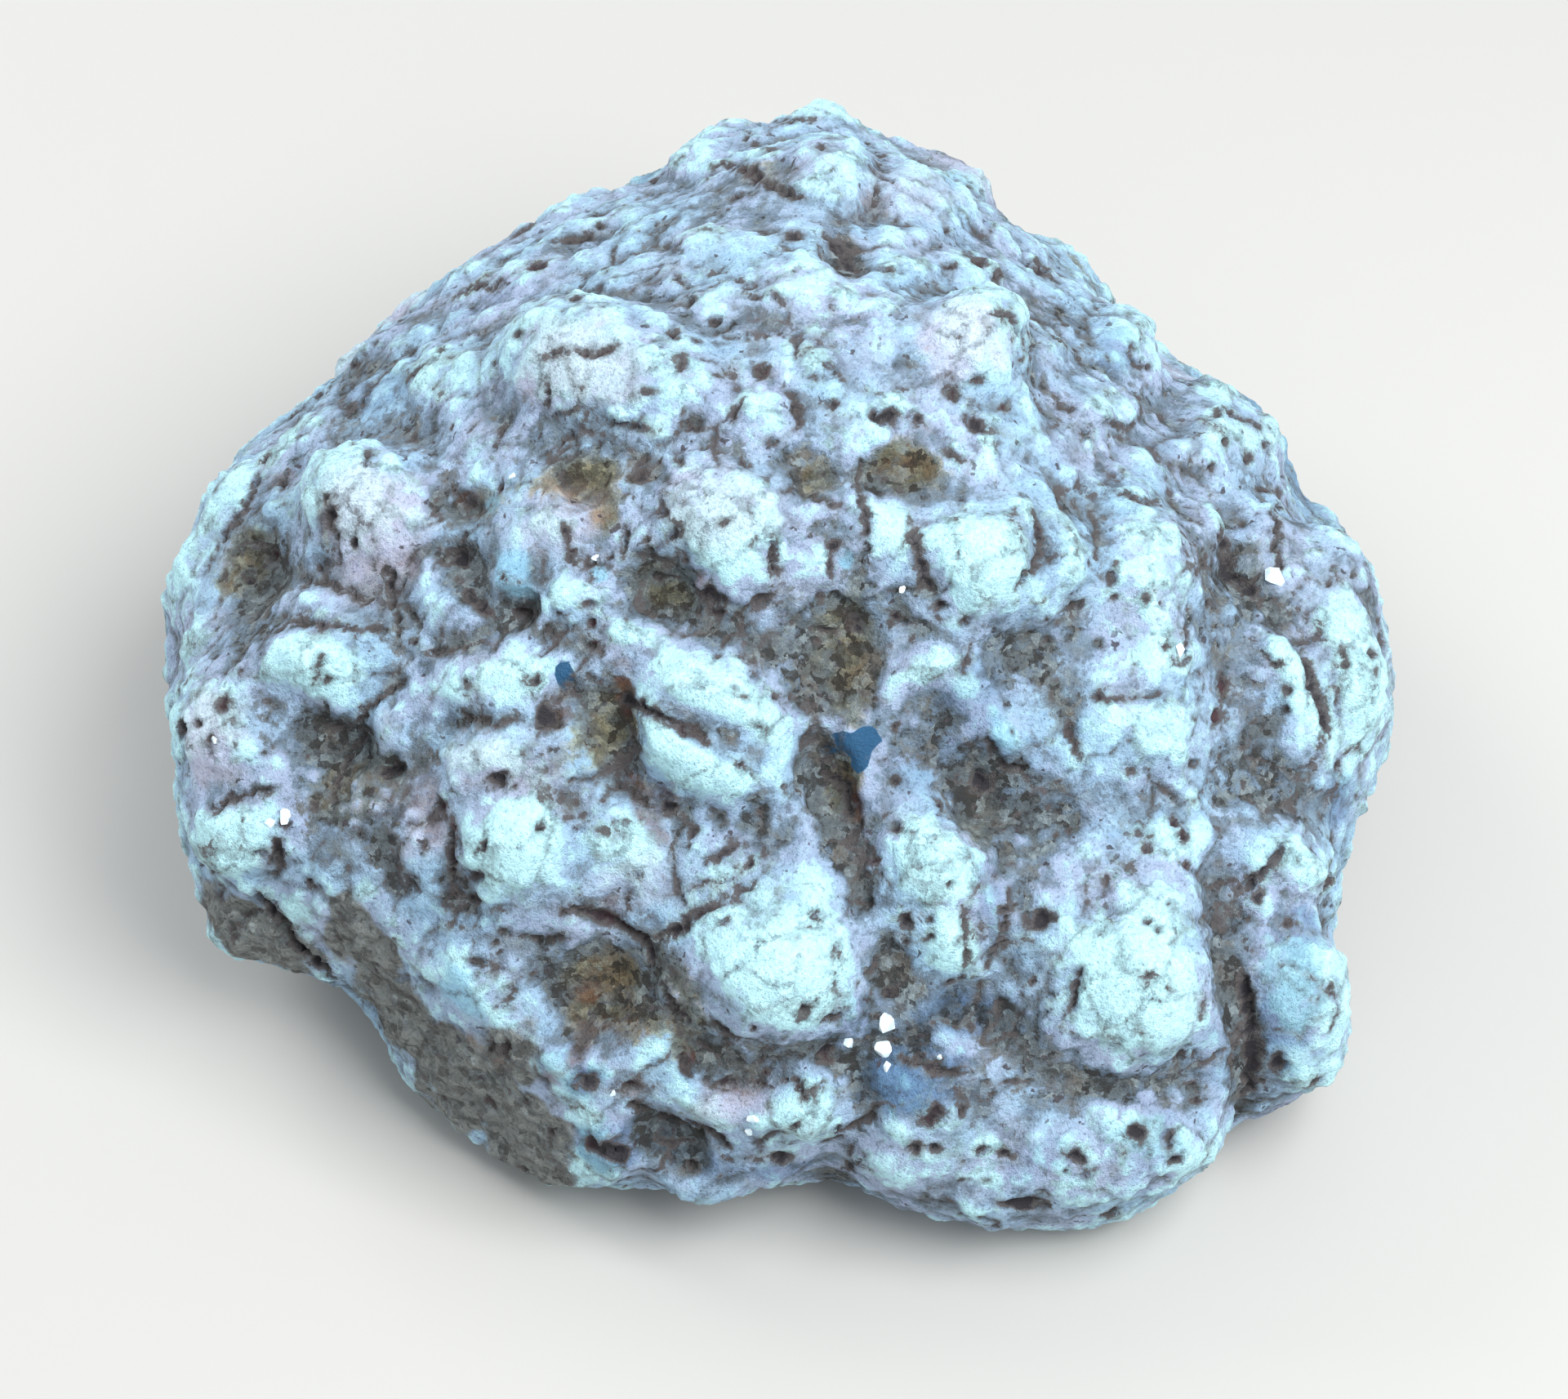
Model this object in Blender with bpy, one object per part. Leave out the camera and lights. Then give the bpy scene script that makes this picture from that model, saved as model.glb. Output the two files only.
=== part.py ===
"""A quartz geode that was never opened: a knobbly lump of chalcedony that lies on a small flat spot.

The build has four steps. A smooth skin is fitted to the outline, the dome inside it and the hidden side.
Swellings, knobs, hollows and valleys are raised and sunk on the skin. The steep broken face is cut, and the
outline is matched once more. The fine mesh is then thinned to a faceted solid and set on its origin.

Lengths are in millimetres until the finished mesh is scaled to metres. Places on the side that shows are
read from the photograph as pixels, u to the right and v down, and sizes there are real ones.
"""

import math
from typing import NamedTuple

import bpy
import numpy as np
from mathutils import Vector
from mathutils.bvhtree import BVHTree


class Knob(NamedTuple):
    """A rounded lump, or a hollow where it is sunk: its middle pixel, its size across and along as seen in
    mm, the turn of its first size in degrees anticlockwise, and how far it stands proud or deep in mm."""

    u: float
    v: float
    across: float
    along: float
    turn: float
    proud: float


class Furrow(NamedTuple):
    """A narrow valley: the pixels that it runs through, its width and its depth in mm."""

    path: tuple
    width: float
    depth: float


class Growth(NamedTuple):
    """Lumps that are not read from the photograph: their count over the whole stone, their least and their
    greatest width in mm, the share of its width that each stands proud, and a seed."""

    count: int
    least: float
    most: float
    proud_share: float
    seed: int


class Fit(NamedTuple):
    """How the stone is stretched to the outline: the turns that the stretch is evened out over, the depth in
    mm before and behind the outline over which it fades, and the room in mm that it leaves."""

    blur: int
    roll: float
    room: float


# Driving dimensions: the width as seen, the height, the rise of the topmost knobs and the foot
STONE_WIDTH = 152.0
STONE_HEIGHT = 86.0
KNOBS_RISE = 2.5
SKIN_HEIGHT = STONE_HEIGHT - KNOBS_RISE
FOOT_WIDTH = 56.0
FOOT_DEPTH = 46.0
FOOT_CENTRE = (6.0, -16.0)
METRES = 0.001

# The ball that is shaped, the rounds that ease it and the facets that are left
BALL_STEPS = 7
EASE_ROUNDS = 5
EASE_FACTOR = 0.5
TRIANGLES = 9600
COLLECTION_NAME = "quartz_geode"
NODE_NAME = "geode"

# How the photograph looks at the stone
VIEW_ELEVATION = math.radians(50.0)
VIEW_DISTANCE = 520.0
AIM_POINT = Vector((0.0, -17.0, 36.0))
PHOTO_CENTRE = (960.0, 856.5)
OUTLINE_LEFT = 193.0
OUTLINE_RIGHT = 1714.0
PIXELS_PER_MM = (OUTLINE_RIGHT - OUTLINE_LEFT) / STONE_WIDTH

VIEW_FORWARD = Vector((0.0, math.cos(VIEW_ELEVATION), -math.sin(VIEW_ELEVATION)))
VIEW_RIGHT = Vector((1.0, 0.0, 0.0))
VIEW_UP = Vector((0.0, math.sin(VIEW_ELEVATION), math.cos(VIEW_ELEVATION)))
EYE = AIM_POINT - VIEW_FORWARD * VIEW_DISTANCE

# The core that the skin is measured from, and how the skin rolls over the outline
CORE = Vector((0.0, 0.0, 38.0))
ROLL_RADIUS = 40.0
ROLL_STEP = 13.0
LOWEST_SKIN = 1.5
SKIN_EASE = 0.03

# The outline, clockwise from the peak: pixel, and height as a share of the skin's height
OUTLINE = [
    ((1017, 116), 0.70), ((1075, 158), 0.69), ((1156, 180), 0.68), ((1205, 202), 0.67),
    ((1238, 266), 0.65), ((1296, 290), 0.63), ((1374, 361), 0.59), ((1440, 438), 0.55),
    ((1484, 448), 0.53), ((1560, 512), 0.50), ((1603, 594), 0.48), ((1661, 656), 0.46),
    ((1703, 745), 0.42), ((1715, 860), 0.39), ((1699, 947), 0.34), ((1663, 1020), 0.31),
    ((1643, 1140), 0.25), ((1663, 1210), 0.19), ((1658, 1306), 0.13), ((1590, 1358), 0.10),
    ((1518, 1382), 0.09), ((1500, 1425), 0.07), ((1432, 1472), 0.06), ((1333, 1518), 0.05),
    ((1220, 1514), 0.05), ((1093, 1485), 0.06), ((1028, 1452), 0.07), ((927, 1465), 0.06),
    ((878, 1482), 0.05), ((769, 1462), 0.06), ((659, 1452), 0.06), ((561, 1391), 0.09),
    ((483, 1322), 0.12), ((447, 1254), 0.16), ((408, 1209), 0.20), ((340, 1194), 0.20),
    ((265, 1174), 0.22), ((237, 1093), 0.30), ((212, 1000), 0.36), ((203, 900), 0.40),
    ((196, 800), 0.45), ((197, 715), 0.48), ((235, 628), 0.51), ((265, 576), 0.53),
    ((320, 514), 0.55), ((390, 475), 0.58), ((420, 430), 0.60), ((500, 360), 0.63),
    ((560, 320), 0.65), ((640, 272), 0.67), ((700, 235), 0.68), ((780, 218), 0.68),
    ((855, 152), 0.70), ((940, 140), 0.70),
]

# The dome inside the outline: pixel, and height as a share of the skin's height
DOME = [
    ((980, 200), 0.89), ((980, 300), 0.97), ((980, 420), 1.00), ((980, 560), 0.95),
    ((980, 700), 0.86), ((980, 850), 0.75), ((980, 1000), 0.63), ((980, 1150), 0.49),
    ((980, 1300), 0.31), ((980, 1400), 0.17), ((400, 620), 0.66), ((400, 760), 0.64),
    ((400, 900), 0.56), ((400, 1040), 0.43), ((400, 1150), 0.29), ((600, 380), 0.81),
    ((600, 500), 0.87), ((600, 650), 0.85), ((600, 800), 0.76), ((600, 950), 0.64),
    ((600, 1100), 0.48), ((600, 1250), 0.29), ((600, 1350), 0.15), ((1300, 400), 0.81),
    ((1300, 520), 0.86), ((1300, 680), 0.83), ((1300, 850), 0.72), ((1300, 1000), 0.60),
    ((1300, 1150), 0.46), ((1300, 1300), 0.29), ((1300, 1420), 0.13), ((1500, 580), 0.65),
    ((1500, 700), 0.67), ((1500, 850), 0.61), ((1500, 1000), 0.51), ((1500, 1150), 0.38),
    ((1500, 1300), 0.21), ((1640, 760), 0.55), ((1640, 880), 0.51), ((1640, 980), 0.41),
    ((260, 700), 0.57), ((260, 850), 0.52), ((260, 1000), 0.41),
]

# The hidden side: bearing in degrees anticlockwise from the right, reach from the core's axis, height share
HIDDEN = [
    (20, 76.0, 0.30), (45, 75.0, 0.33), (70, 73.0, 0.36), (90, 74.0, 0.36), (110, 73.0, 0.36),
    (135, 75.0, 0.33), (160, 76.0, 0.32), (0, 60.0, 0.10), (30, 60.0, 0.10), (60, 58.0, 0.09),
    (90, 56.0, 0.09), (120, 57.0, 0.10), (150, 56.0, 0.11), (180, 50.0, 0.12), (212, 45.0, 0.10),
    (245, 48.0, 0.06), (270, 54.0, 0.05), (300, 56.0, 0.05), (330, 57.0, 0.07),
]
FOOT_POINTS = 10
FOOT_SINK = -4.0

# How far the underside is pressed down over the foot, out to what share of the foot's ring, and how high
# the points still belong to the underside
FOOT_PRESS = 4.0
FOOT_MARGIN = 1.35
UNDERSIDE_TOP = 12.0

# The broad swellings that the smaller knobs grow on
SWELLS = [
    Knob(1010, 215, 26, 15, -5, 2.0), Knob(720, 440, 26, 18, 0, 3.0), Knob(1190, 420, 16, 14, -10, 3.0),
    Knob(450, 625, 18, 19, 0, 3.5), Knob(285, 930, 17, 30, 0, 3.0), Knob(1380, 430, 13, 14, -40, 2.5),
    Knob(890, 640, 21, 18, 0, 2.5), Knob(1210, 690, 24, 18, 0, 2.5), Knob(1400, 700, 17, 20, 0, 2.5),
    Knob(1510, 520, 17, 19, -40, 2.5), Knob(1625, 780, 18, 34, 15, 3.0), Knob(1410, 870, 19, 19, 0, 2.5),
    Knob(640, 1000, 22, 30, 0, 3.0), Knob(880, 890, 23, 18, -25, 3.0), Knob(950, 1180, 26, 25, 0, 4.0),
    Knob(1385, 1190, 27, 28, 0, 4.0), Knob(1590, 1225, 17, 22, 0, 3.0), Knob(1565, 1050, 16, 17, 0, 2.5),
    Knob(1150, 1090, 16, 22, 20, 2.5), Knob(1400, 1400, 26, 17, 15, 2.5), Knob(985, 1350, 17, 13, 0, 2.0),
    Knob(380, 800, 19, 15, 0, 2.5), Knob(560, 1180, 15, 22, 35, 2.0),
]

# The knobs, from the peak down
KNOBS = [
    # Crown
    Knob(1003, 152, 17.5, 5.5, -5, 1.8), Knob(850, 198, 8, 7.5, 0, 2.2), Knob(1018, 228, 11.5, 10.5, 0, 2.6),
    Knob(1138, 245, 14, 13, 0, 2.6), Knob(765, 232, 9, 4.5, 25, 1.5), Knob(690, 255, 10, 4.5, 30, 1.6),
    Knob(655, 330, 7, 4, 25, 1.2), Knob(570, 335, 9, 3.5, 35, 1.5), Knob(455, 425, 8, 3.5, 45, 1.5),
    Knob(1290, 300, 10, 5, -35, 1.6), Knob(905, 170, 5.5, 4, 0, 1.2), Knob(880, 300, 13, 6, 0, 1.5),
    # Upper slope
    Knob(715, 440, 20, 15, 0, 2.4), Knob(560, 460, 14, 11, 0, 2.0), Knob(990, 350, 14, 10, -20, 1.8),
    Knob(880, 365, 10, 6, 0, 1.2), Knob(835, 460, 11, 10, 0, 1.6), Knob(935, 515, 6.5, 9, 0, 1.8),
    Knob(1090, 400, 9, 11, 0, 1.6), Knob(1188, 420, 13.5, 11, -10, 3.2), Knob(1365, 425, 10, 12, -40, 2.2),
    Knob(1270, 440, 6, 9, -45, 1.6), Knob(1350, 500, 11, 9, 0, 2.0), Knob(1240, 530, 11, 6, 0, 1.5),
    Knob(580, 540, 9, 6, 0, 1.2), Knob(1110, 490, 9, 6, 0, 1.2), Knob(790, 520, 10, 7, 0, 1.2),
    # Right shoulder
    Knob(1490, 485, 11, 8, -30, 2.0), Knob(1545, 545, 8, 9, 0, 1.8), Knob(1470, 545, 7, 7, 0, 1.4),
    Knob(1468, 652, 7, 8.5, 0, 2.2), Knob(1536, 650, 6.5, 9.5, 15, 2.4), Knob(1625, 690, 12, 12, -45, 2.8),
    Knob(1561, 706, 3, 3.5, 0, 1.0), Knob(1632, 835, 8.5, 21, 12, 2.6), Knob(1565, 830, 5.5, 14, 15, 1.8),
    Knob(1597, 925, 7, 11, 20, 1.8), Knob(1690, 830, 4.5, 16, 0, 1.2), Knob(1550, 1020, 7, 9.5, 20, 2.2),
    Knob(1582, 1075, 10, 8, -20, 2.4), Knob(1640, 1055, 3.5, 9, 0, 1.2), Knob(1585, 1200, 13, 14, 0, 2.4),
    Knob(1605, 1310, 9, 6.5, 25, 1.4),
    # Middle
    Knob(885, 630, 16, 12, 0, 2.2), Knob(905, 695, 10, 6, 0, 1.8), Knob(682, 632, 7.5, 7.5, 0, 2.2),
    Knob(690, 738, 11, 6, 0, 1.8), Knob(624, 708, 5.5, 7, 0, 1.6), Knob(1198, 692, 12.5, 13, 0, 3.0),
    Knob(1088, 665, 8.5, 12.5, 0, 2.0), Knob(1305, 685, 6.5, 13, 10, 2.2), Knob(1400, 695, 12, 16, 15, 2.4),
    Knob(1008, 625, 8, 5, 0, 1.2), Knob(1130, 822, 9, 6, 25, 1.4), Knob(1418, 798, 14, 7.5, 8, 2.2),
    Knob(1398, 883, 13.5, 7.5, 0, 1.8), Knob(1325, 893, 4.5, 7, 0, 1.5), Knob(1234, 907, 4.6, 4.6, 0, 2.0),
    Knob(1362, 938, 5.5, 5, 0, 1.3), Knob(1425, 922, 5.5, 5, 0, 1.3), Knob(1435, 968, 9, 3, 8, 1.1),
    Knob(1438, 1030, 12, 7.5, -8, 2.4), Knob(1456, 1088, 5, 5, 0, 1.4), Knob(1148, 1060, 13, 10, 25, 2.6),
    Knob(1157, 1165, 6, 11, 0, 2.0), Knob(1237, 1130, 4.5, 14, 15, 1.7), Knob(1290, 1130, 6, 14, 10, 1.9),
    Knob(875, 842, 18.5, 8, -24, 2.8), Knob(852, 935, 16, 10, -22, 2.8), Knob(772, 768, 8.5, 4.5, 10, 1.4),
    Knob(1000, 690, 6, 7, 0, 1.2), Knob(775, 668, 5, 6, 0, 1.2), Knob(955, 985, 8, 6, 0, 1.2),
    # Left
    Knob(450, 620, 15, 14.5, 0, 2.8), Knob(410, 737, 13, 4.5, -4, 1.8), Knob(385, 820, 15.5, 10, 0, 3.0),
    Knob(385, 680, 4.5, 6, 0, 1.4), Knob(262, 625, 7, 20, -38, 2.4), Knob(285, 880, 14, 15, 0, 2.6),
    Knob(288, 1028, 10, 12, -15, 2.6), Knob(228, 975, 5.5, 12, 0, 1.4), Knob(240, 785, 5, 9, -25, 1.5),
    Knob(475, 890, 7, 8.5, -15, 2.0), Knob(545, 745, 8, 7, 0, 1.5), Knob(530, 640, 6, 7, 0, 1.2),
    Knob(345, 1100, 4, 4.5, 0, 1.0), Knob(440, 1090, 7, 6, 0, 1.4), Knob(440, 990, 8, 9, 0, 1.3),
    # Lower left
    Knob(605, 828, 19, 8.5, 12, 2.6), Knob(600, 922, 12.5, 5.5, 4, 1.8), Knob(640, 1030, 15, 14, 0, 3.2),
    Knob(522, 1052, 5.5, 13, 18, 2.2), Knob(770, 1025, 11, 12, 0, 2.3), Knob(880, 1048, 12, 5.5, 24, 1.8),
    Knob(845, 1118, 12, 4.5, 30, 1.4), Knob(570, 1212, 8.5, 10, 20, 2.2), Knob(600, 1128, 12, 5.5, 0, 1.4),
    Knob(685, 1300, 11, 9, 0, 1.9), Knob(716, 1372, 8, 5, -30, 1.4), Knob(735, 1415, 8, 7, 0, 1.5),
    # Front
    Knob(958, 1185, 19.5, 17, 0, 3.6), Knob(1008, 1078, 9, 5.5, -38, 1.8), Knob(1085, 1118, 4, 6, 0, 1.2),
    Knob(1390, 1210, 18, 20, 0, 3.6), Knob(1405, 1112, 10, 7, -20, 1.8), Knob(985, 1345, 12.5, 9, 0, 2.6),
    Knob(870, 1352, 12, 6, -32, 1.8), Knob(1120, 1345, 13, 10, 0, 1.8), Knob(1182, 1282, 7, 6, 0, 1.2),
    Knob(1105, 1430, 14, 6.5, -12, 1.5), Knob(1405, 1388, 17, 10, 15, 2.4), Knob(1483, 1290, 7.5, 14, 5, 2.2),
    Knob(1300, 1445, 15, 7, -5, 1.8), Knob(1200, 1480, 11, 5, 0, 1.3), Knob(860, 1452, 13, 4.5, -8, 1.5),
    Knob(955, 1430, 9, 5, 0, 1.4), Knob(1270, 1270, 6, 10, 25, 1.2), Knob(1490, 1398, 5.5, 6, 0, 1.4),
]

# The recesses between them
HOLLOWS = [
    Knob(1038, 315, 6, 8, 30, 1.5), Knob(720, 290, 14, 4.5, 22, 1.8), Knob(310, 690, 8, 13, -20, 2.8),
    Knob(636, 748, 5.5, 3.5, 15, 2.6), Knob(415, 912, 9.5, 6, 0, 2.4), Knob(478, 945, 4.5, 4.5, 0, 2.2),
    Knob(812, 722, 10, 7.5, -40, 2.2), Knob(1028, 795, 11, 13, 0, 3.0), Knob(1015, 960, 7, 14, 20, 2.4),
    Knob(1200, 965, 11, 12, 0, 2.6), Knob(1290, 1000, 11, 9, 0, 2.2), Knob(1100, 575, 11, 4.5, 15, 1.6),
    Knob(993, 588, 6, 5, 0, 1.2), Knob(725, 590, 8, 5, 0, 1.8), Knob(570, 620, 6, 4.5, 0, 1.4),
    Knob(755, 875, 6, 9, 0, 1.8), Knob(730, 1215, 15, 13, 0, 3.4), Knob(790, 1176, 5, 5, 0, 2.0),
    Knob(1080, 1192, 5, 7, 0, 2.2), Knob(1190, 1230, 13, 5.5, -30, 2.2), Knob(1535, 965, 9, 12, 0, 2.4),
    Knob(1600, 995, 9, 4.5, 0, 1.6), Knob(815, 1402, 15, 5.5, -28, 2.8), Knob(1120, 900, 14, 10, 0, 1.4),
    Knob(310, 1140, 14, 7, -30, 2.0), Knob(560, 690, 6, 7, 0, 1.4), Knob(1250, 790, 9, 7, 0, 1.4),
]

# The valleys that part the big lobes
FURROWS = [
    Furrow(((1502, 620), (1510, 700), (1545, 745), (1580, 785), (1606, 850), (1640, 930)), 3.6, 2.4),
    Furrow(((1518, 1385), (1528, 1300), (1502, 1215), (1488, 1125), (1500, 1040)), 4.6, 2.8),
    Furrow(((1028, 1455), (1058, 1400), (1062, 1330), (1100, 1250)), 3.4, 1.8),
    Furrow(((314, 1085), (346, 1119), (372, 1168), (405, 1195)), 3.0, 2.6),
    Furrow(((520, 820), (444, 872), (440, 907), (418, 950), (400, 1000)), 2.6, 1.8),
    Furrow(((1127, 640), (1132, 700), (1152, 745)), 2.2, 1.6),
    Furrow(((1268, 620), (1274, 670), (1240, 725)), 2.4, 1.6),
    Furrow(((1222, 380), (1262, 430), (1270, 470)), 2.0, 1.6),
    Furrow(((1080, 180), (1074, 230), (1062, 270)), 1.8, 1.2),
    Furrow(((705, 950), (708, 1030), (700, 1100), (780, 1130), (830, 1140)), 2.4, 1.6),
    Furrow(((545, 980), (552, 1050), (580, 1110)), 2.2, 1.5),
    Furrow(((1230, 1180), (1260, 1270), (1330, 1330), (1440, 1325)), 3.0, 1.6),
    Furrow(((800, 1190), (835, 1260), (905, 1325), (1000, 1290)), 2.6, 1.3),
]

# The steep broken face at the lower left: three points of it as pixel and height share, how far outside them
# its flat lies in mm, the x where it starts, the width that it starts over, and the share of relief left
BROKEN_FACE = [((535, 1215), 0.36), ((425, 1225), 0.19), ((640, 1405), 0.10)]
BROKEN_FACE_OUT = 1.0
BROKEN_FACE_START = -61.0
BROKEN_FACE_EASE = 7.0
BROKEN_FACE_RELIEF = 0.18

# Swellings and knobs of the same kind on the hidden side, and small knobs that fill in between the seen ones
HIDDEN_SWELLS = Growth(60, 20.0, 34.0, 0.14, 7)
HIDDEN_KNOBS = Growth(330, 7.5, 17.0, 0.2, 41)
FILLING_KNOBS = Growth(420, 6.5, 12.0, 0.13, 93)
GROWTH_JITTER = 0.35
LEAST_ROUND = 0.65
HIDDEN_FROM = 0.05
HIDDEN_TO = -0.20

# The turns of the outline that the stone is stretched to, and how fast the stretch fades inwards
OUTLINE_BINS = 240
OUTLINE_STEPS = 8
OUTLINE_MIDDLE = (955.0, 820.0)
OUTLINE_PASSES = 4
STRETCH_POWER = 3.0
SKIN_FIT = Fit(18, 45.0, 1.2)
KNOBS_FIT = Fit(3, 11.0, 0.0)
EDGE_BLUR = 20

# Knobs fade out towards the floor between these heights
FADE_FROM = 1.0
FADE_TO = 7.0

# How full a dome is, where 1 is a parabola and 0.5 an ellipsoid, how much bolder the seen ones are, and how
# far from its middle a dome can reach as a share of its seen size
DOME_POWER = 0.65
BOLDNESS = 1.3
DOME_REACH = 1.2

# A surface seen edge-on is taken as at least this open to the eye when a seen size becomes a real one
LEAST_OPEN = 0.55


def ray(u, v):
    """The unit direction from the eye through a pixel of the photograph."""
    across = (u - PHOTO_CENTRE[0]) / (PIXELS_PER_MM * VIEW_DISTANCE)
    up = (PHOTO_CENTRE[1] - v) / (PIXELS_PER_MM * VIEW_DISTANCE)
    return (VIEW_FORWARD + VIEW_RIGHT * across + VIEW_UP * up).normalized()


def seen(u, v, height):
    """The point at a height above the floor that the photograph shows at a pixel."""
    line = ray(u, v)
    return EYE + line * ((height - EYE.z) / line.z)


def outline_anchors():
    """Each outline point with one point of skin before it and one behind it, which roll it over."""
    anchors = []
    count = len(OUTLINE)
    for i, ((u, v), share) in enumerate(OUTLINE):
        before = OUTLINE[i - 1][0]
        after = OUTLINE[(i + 1) % count][0]
        outward = VIEW_RIGHT * (before[1] - after[1]) + VIEW_UP * (before[0] - after[0])
        outward = -outward.normalized()
        point = seen(u, v, share * SKIN_HEIGHT)
        sight = (point - EYE).normalized()
        far_step = min(ROLL_STEP, max(point.z - LOWEST_SKIN, 0.0) / -sight.z)
        anchors.append(point)
        for step in (-ROLL_STEP, far_step):
            inset = step * step / (2.0 * ROLL_RADIUS)
            anchors.append(point + sight * step - outward * inset)
    return anchors


def hidden_anchors():
    """Points on the back, the sides and the underside, and a ring that sinks the foot below the floor."""
    anchors = []
    for bearing, reach, share in HIDDEN:
        angle = math.radians(bearing)
        anchors.append(Vector((reach * math.cos(angle), reach * math.sin(angle), share * SKIN_HEIGHT)))
    for i in range(FOOT_POINTS):
        angle = 2.0 * math.pi * i / FOOT_POINTS
        x = FOOT_CENTRE[0] + FOOT_WIDTH / 2.0 * math.cos(angle)
        y = FOOT_CENTRE[1] + FOOT_DEPTH / 2.0 * math.sin(angle)
        anchors.append(Vector((x, y, 0.0)))
    anchors.append(Vector((*FOOT_CENTRE, FOOT_SINK)))
    return anchors


def fit_skin(anchors):
    """A smooth distance from the core in every direction, fitted to the anchors with cubic radial terms."""
    offsets = np.array(anchors) - np.array(CORE)
    reach = np.linalg.norm(offsets, axis=1)
    ways = offsets / reach[:, None]
    gaps = np.linalg.norm(ways[:, None] - ways[None], axis=2)
    plain = np.hstack([np.ones((len(ways), 1)), ways])
    count = len(ways)
    left = np.zeros((count + 4, count + 4))
    left[:count, :count] = gaps**3 + SKIN_EASE * np.eye(count)
    left[:count, count:] = plain
    left[count:, :count] = plain.T
    weights = np.linalg.solve(left, np.concatenate([reach, np.zeros(4)]))

    def reach_of(directions):
        near = np.clip(2.0 - 2.0 * directions @ ways.T, 0.0, None) ** 1.5
        flat = np.hstack([np.ones((len(directions), 1)), directions])
        return near @ weights[:count] + flat @ weights[count:]

    return reach_of


def vertex_normals(points, faces):
    """Area-weighted vertex normals."""
    corners = points[faces]
    face_normals = np.cross(corners[:, 1] - corners[:, 0], corners[:, 2] - corners[:, 0])
    normals = np.zeros_like(points)
    for side in range(3):
        np.add.at(normals, faces[:, side], face_normals)
    return normals / np.linalg.norm(normals, axis=1)[:, None]


def seen_frame(tree, knob):
    """Where a knob sits on the skin, and the two rows that turn an offset from there into its own
    coordinates, in which its rim is the unit circle."""
    place, normal, _, _ = tree.ray_cast(EYE, ray(knob.u, knob.v))
    if place is None:
        return None
    across = (VIEW_RIGHT - normal * VIEW_RIGHT.dot(normal)).normalized()
    along = normal.cross(across)
    plane = np.array([across, along])
    seen_plane = np.array([VIEW_RIGHT, VIEW_UP]) @ plane.T
    outer, openness, inner = np.linalg.svd(seen_plane)
    as_seen = outer @ np.diag(np.maximum(openness, LEAST_OPEN)) @ inner @ plane
    angle = math.radians(knob.turn)
    row_a = (as_seen[0] * math.cos(angle) + as_seen[1] * math.sin(angle)) * (2.0 / knob.across)
    row_b = (as_seen[1] * math.cos(angle) - as_seen[0] * math.sin(angle)) * (2.0 / knob.along)
    return np.array(place), row_a, row_b


def dome_over(points, frame, reach):
    """A dome of height 1 over a knob's rim, zero outside it."""
    place, row_a, row_b = frame
    offsets = points - place
    close = np.einsum("ij,ij->i", offsets, offsets) < reach * reach
    rise = np.zeros(len(points))
    a = offsets[close] @ row_a
    b = offsets[close] @ row_b
    rise[close] = np.clip(1.0 - a * a - b * b, 0.0, 1.0)
    return rise


def raise_seen_knobs(points, tree, knobs):
    """The height of the seen knobs over the skin: they overlap as rounded lumps do, the higher one wins."""
    height = np.zeros(len(points))
    for knob in knobs:
        frame = seen_frame(tree, knob)
        if frame is None:
            continue
        reach = max(knob.across, knob.along) * DOME_REACH
        rise = dome_over(points, frame, reach) ** DOME_POWER * knob.proud * BOLDNESS
        height = np.maximum(height, rise)
    return height


def grow(points, normals, growth):
    """Lumps spread evenly over the whole stone with a seeded jitter, as a height over the skin."""
    chance = np.random.default_rng(growth.seed)
    golden = math.pi * (3.0 - math.sqrt(5.0))
    jitter = GROWTH_JITTER * math.sqrt(4.0 * math.pi / growth.count)
    height = np.zeros(len(points))
    ways = points - np.array(CORE)
    ways /= np.linalg.norm(ways, axis=1)[:, None]
    for i in range(growth.count):
        z = 1.0 - 2.0 * (i + 0.5) / growth.count
        ring = math.sqrt(1.0 - z * z)
        way = np.array([ring * math.cos(i * golden), ring * math.sin(i * golden), z])
        nearest = int(np.argmax(ways @ (way + chance.normal(0.0, jitter, 3))))
        width = chance.uniform(growth.least, growth.most)
        stretch = chance.uniform(LEAST_ROUND, 1.0)
        turn = chance.uniform(0.0, math.pi)
        across = np.cross(normals[nearest], [math.cos(turn), math.sin(turn), math.sin(turn)])
        across /= np.linalg.norm(across)
        along = np.cross(normals[nearest], across)
        frame = (points[nearest], across * 2.0 / width, along * 2.0 / (width * stretch))
        rise = dome_over(points, frame, width) ** DOME_POWER * width * growth.proud_share
        height = np.maximum(height, rise)
    return height


def facing_eye(points, normals):
    """1 where the surface looks straight at the eye, 0 at the outline, below 0 on the hidden side."""
    sight = np.array(EYE) - points
    sight /= np.linalg.norm(sight, axis=1)[:, None]
    return np.einsum("ij,ij->i", sight, normals)


def hidden_share(points, normals):
    """1 where the photograph does not reach, 0 where it does, with a soft change between."""
    return np.clip((HIDDEN_FROM - facing_eye(points, normals)) / (HIDDEN_FROM - HIDDEN_TO), 0.0, 1.0)


def cut_furrows(points, tree):
    """The depth of the valleys, round-bottomed along their paths."""
    depth = np.zeros(len(points))
    for furrow in FURROWS:
        path = [tree.ray_cast(EYE, ray(u, v))[0] for u, v in furrow.path]
        path = [np.array(place) for place in path if place is not None]
        for start, end in zip(path, path[1:]):
            step = end - start
            share = np.clip((points - start) @ step / (step @ step), 0.0, 1.0)
            off = np.linalg.norm(points - start - share[:, None] * step, axis=1)
            dip = furrow.depth * np.clip(1.0 - (2.0 * off / furrow.width) ** 2, 0.0, 1.0)
            depth = np.maximum(depth, dip)
    return depth


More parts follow.
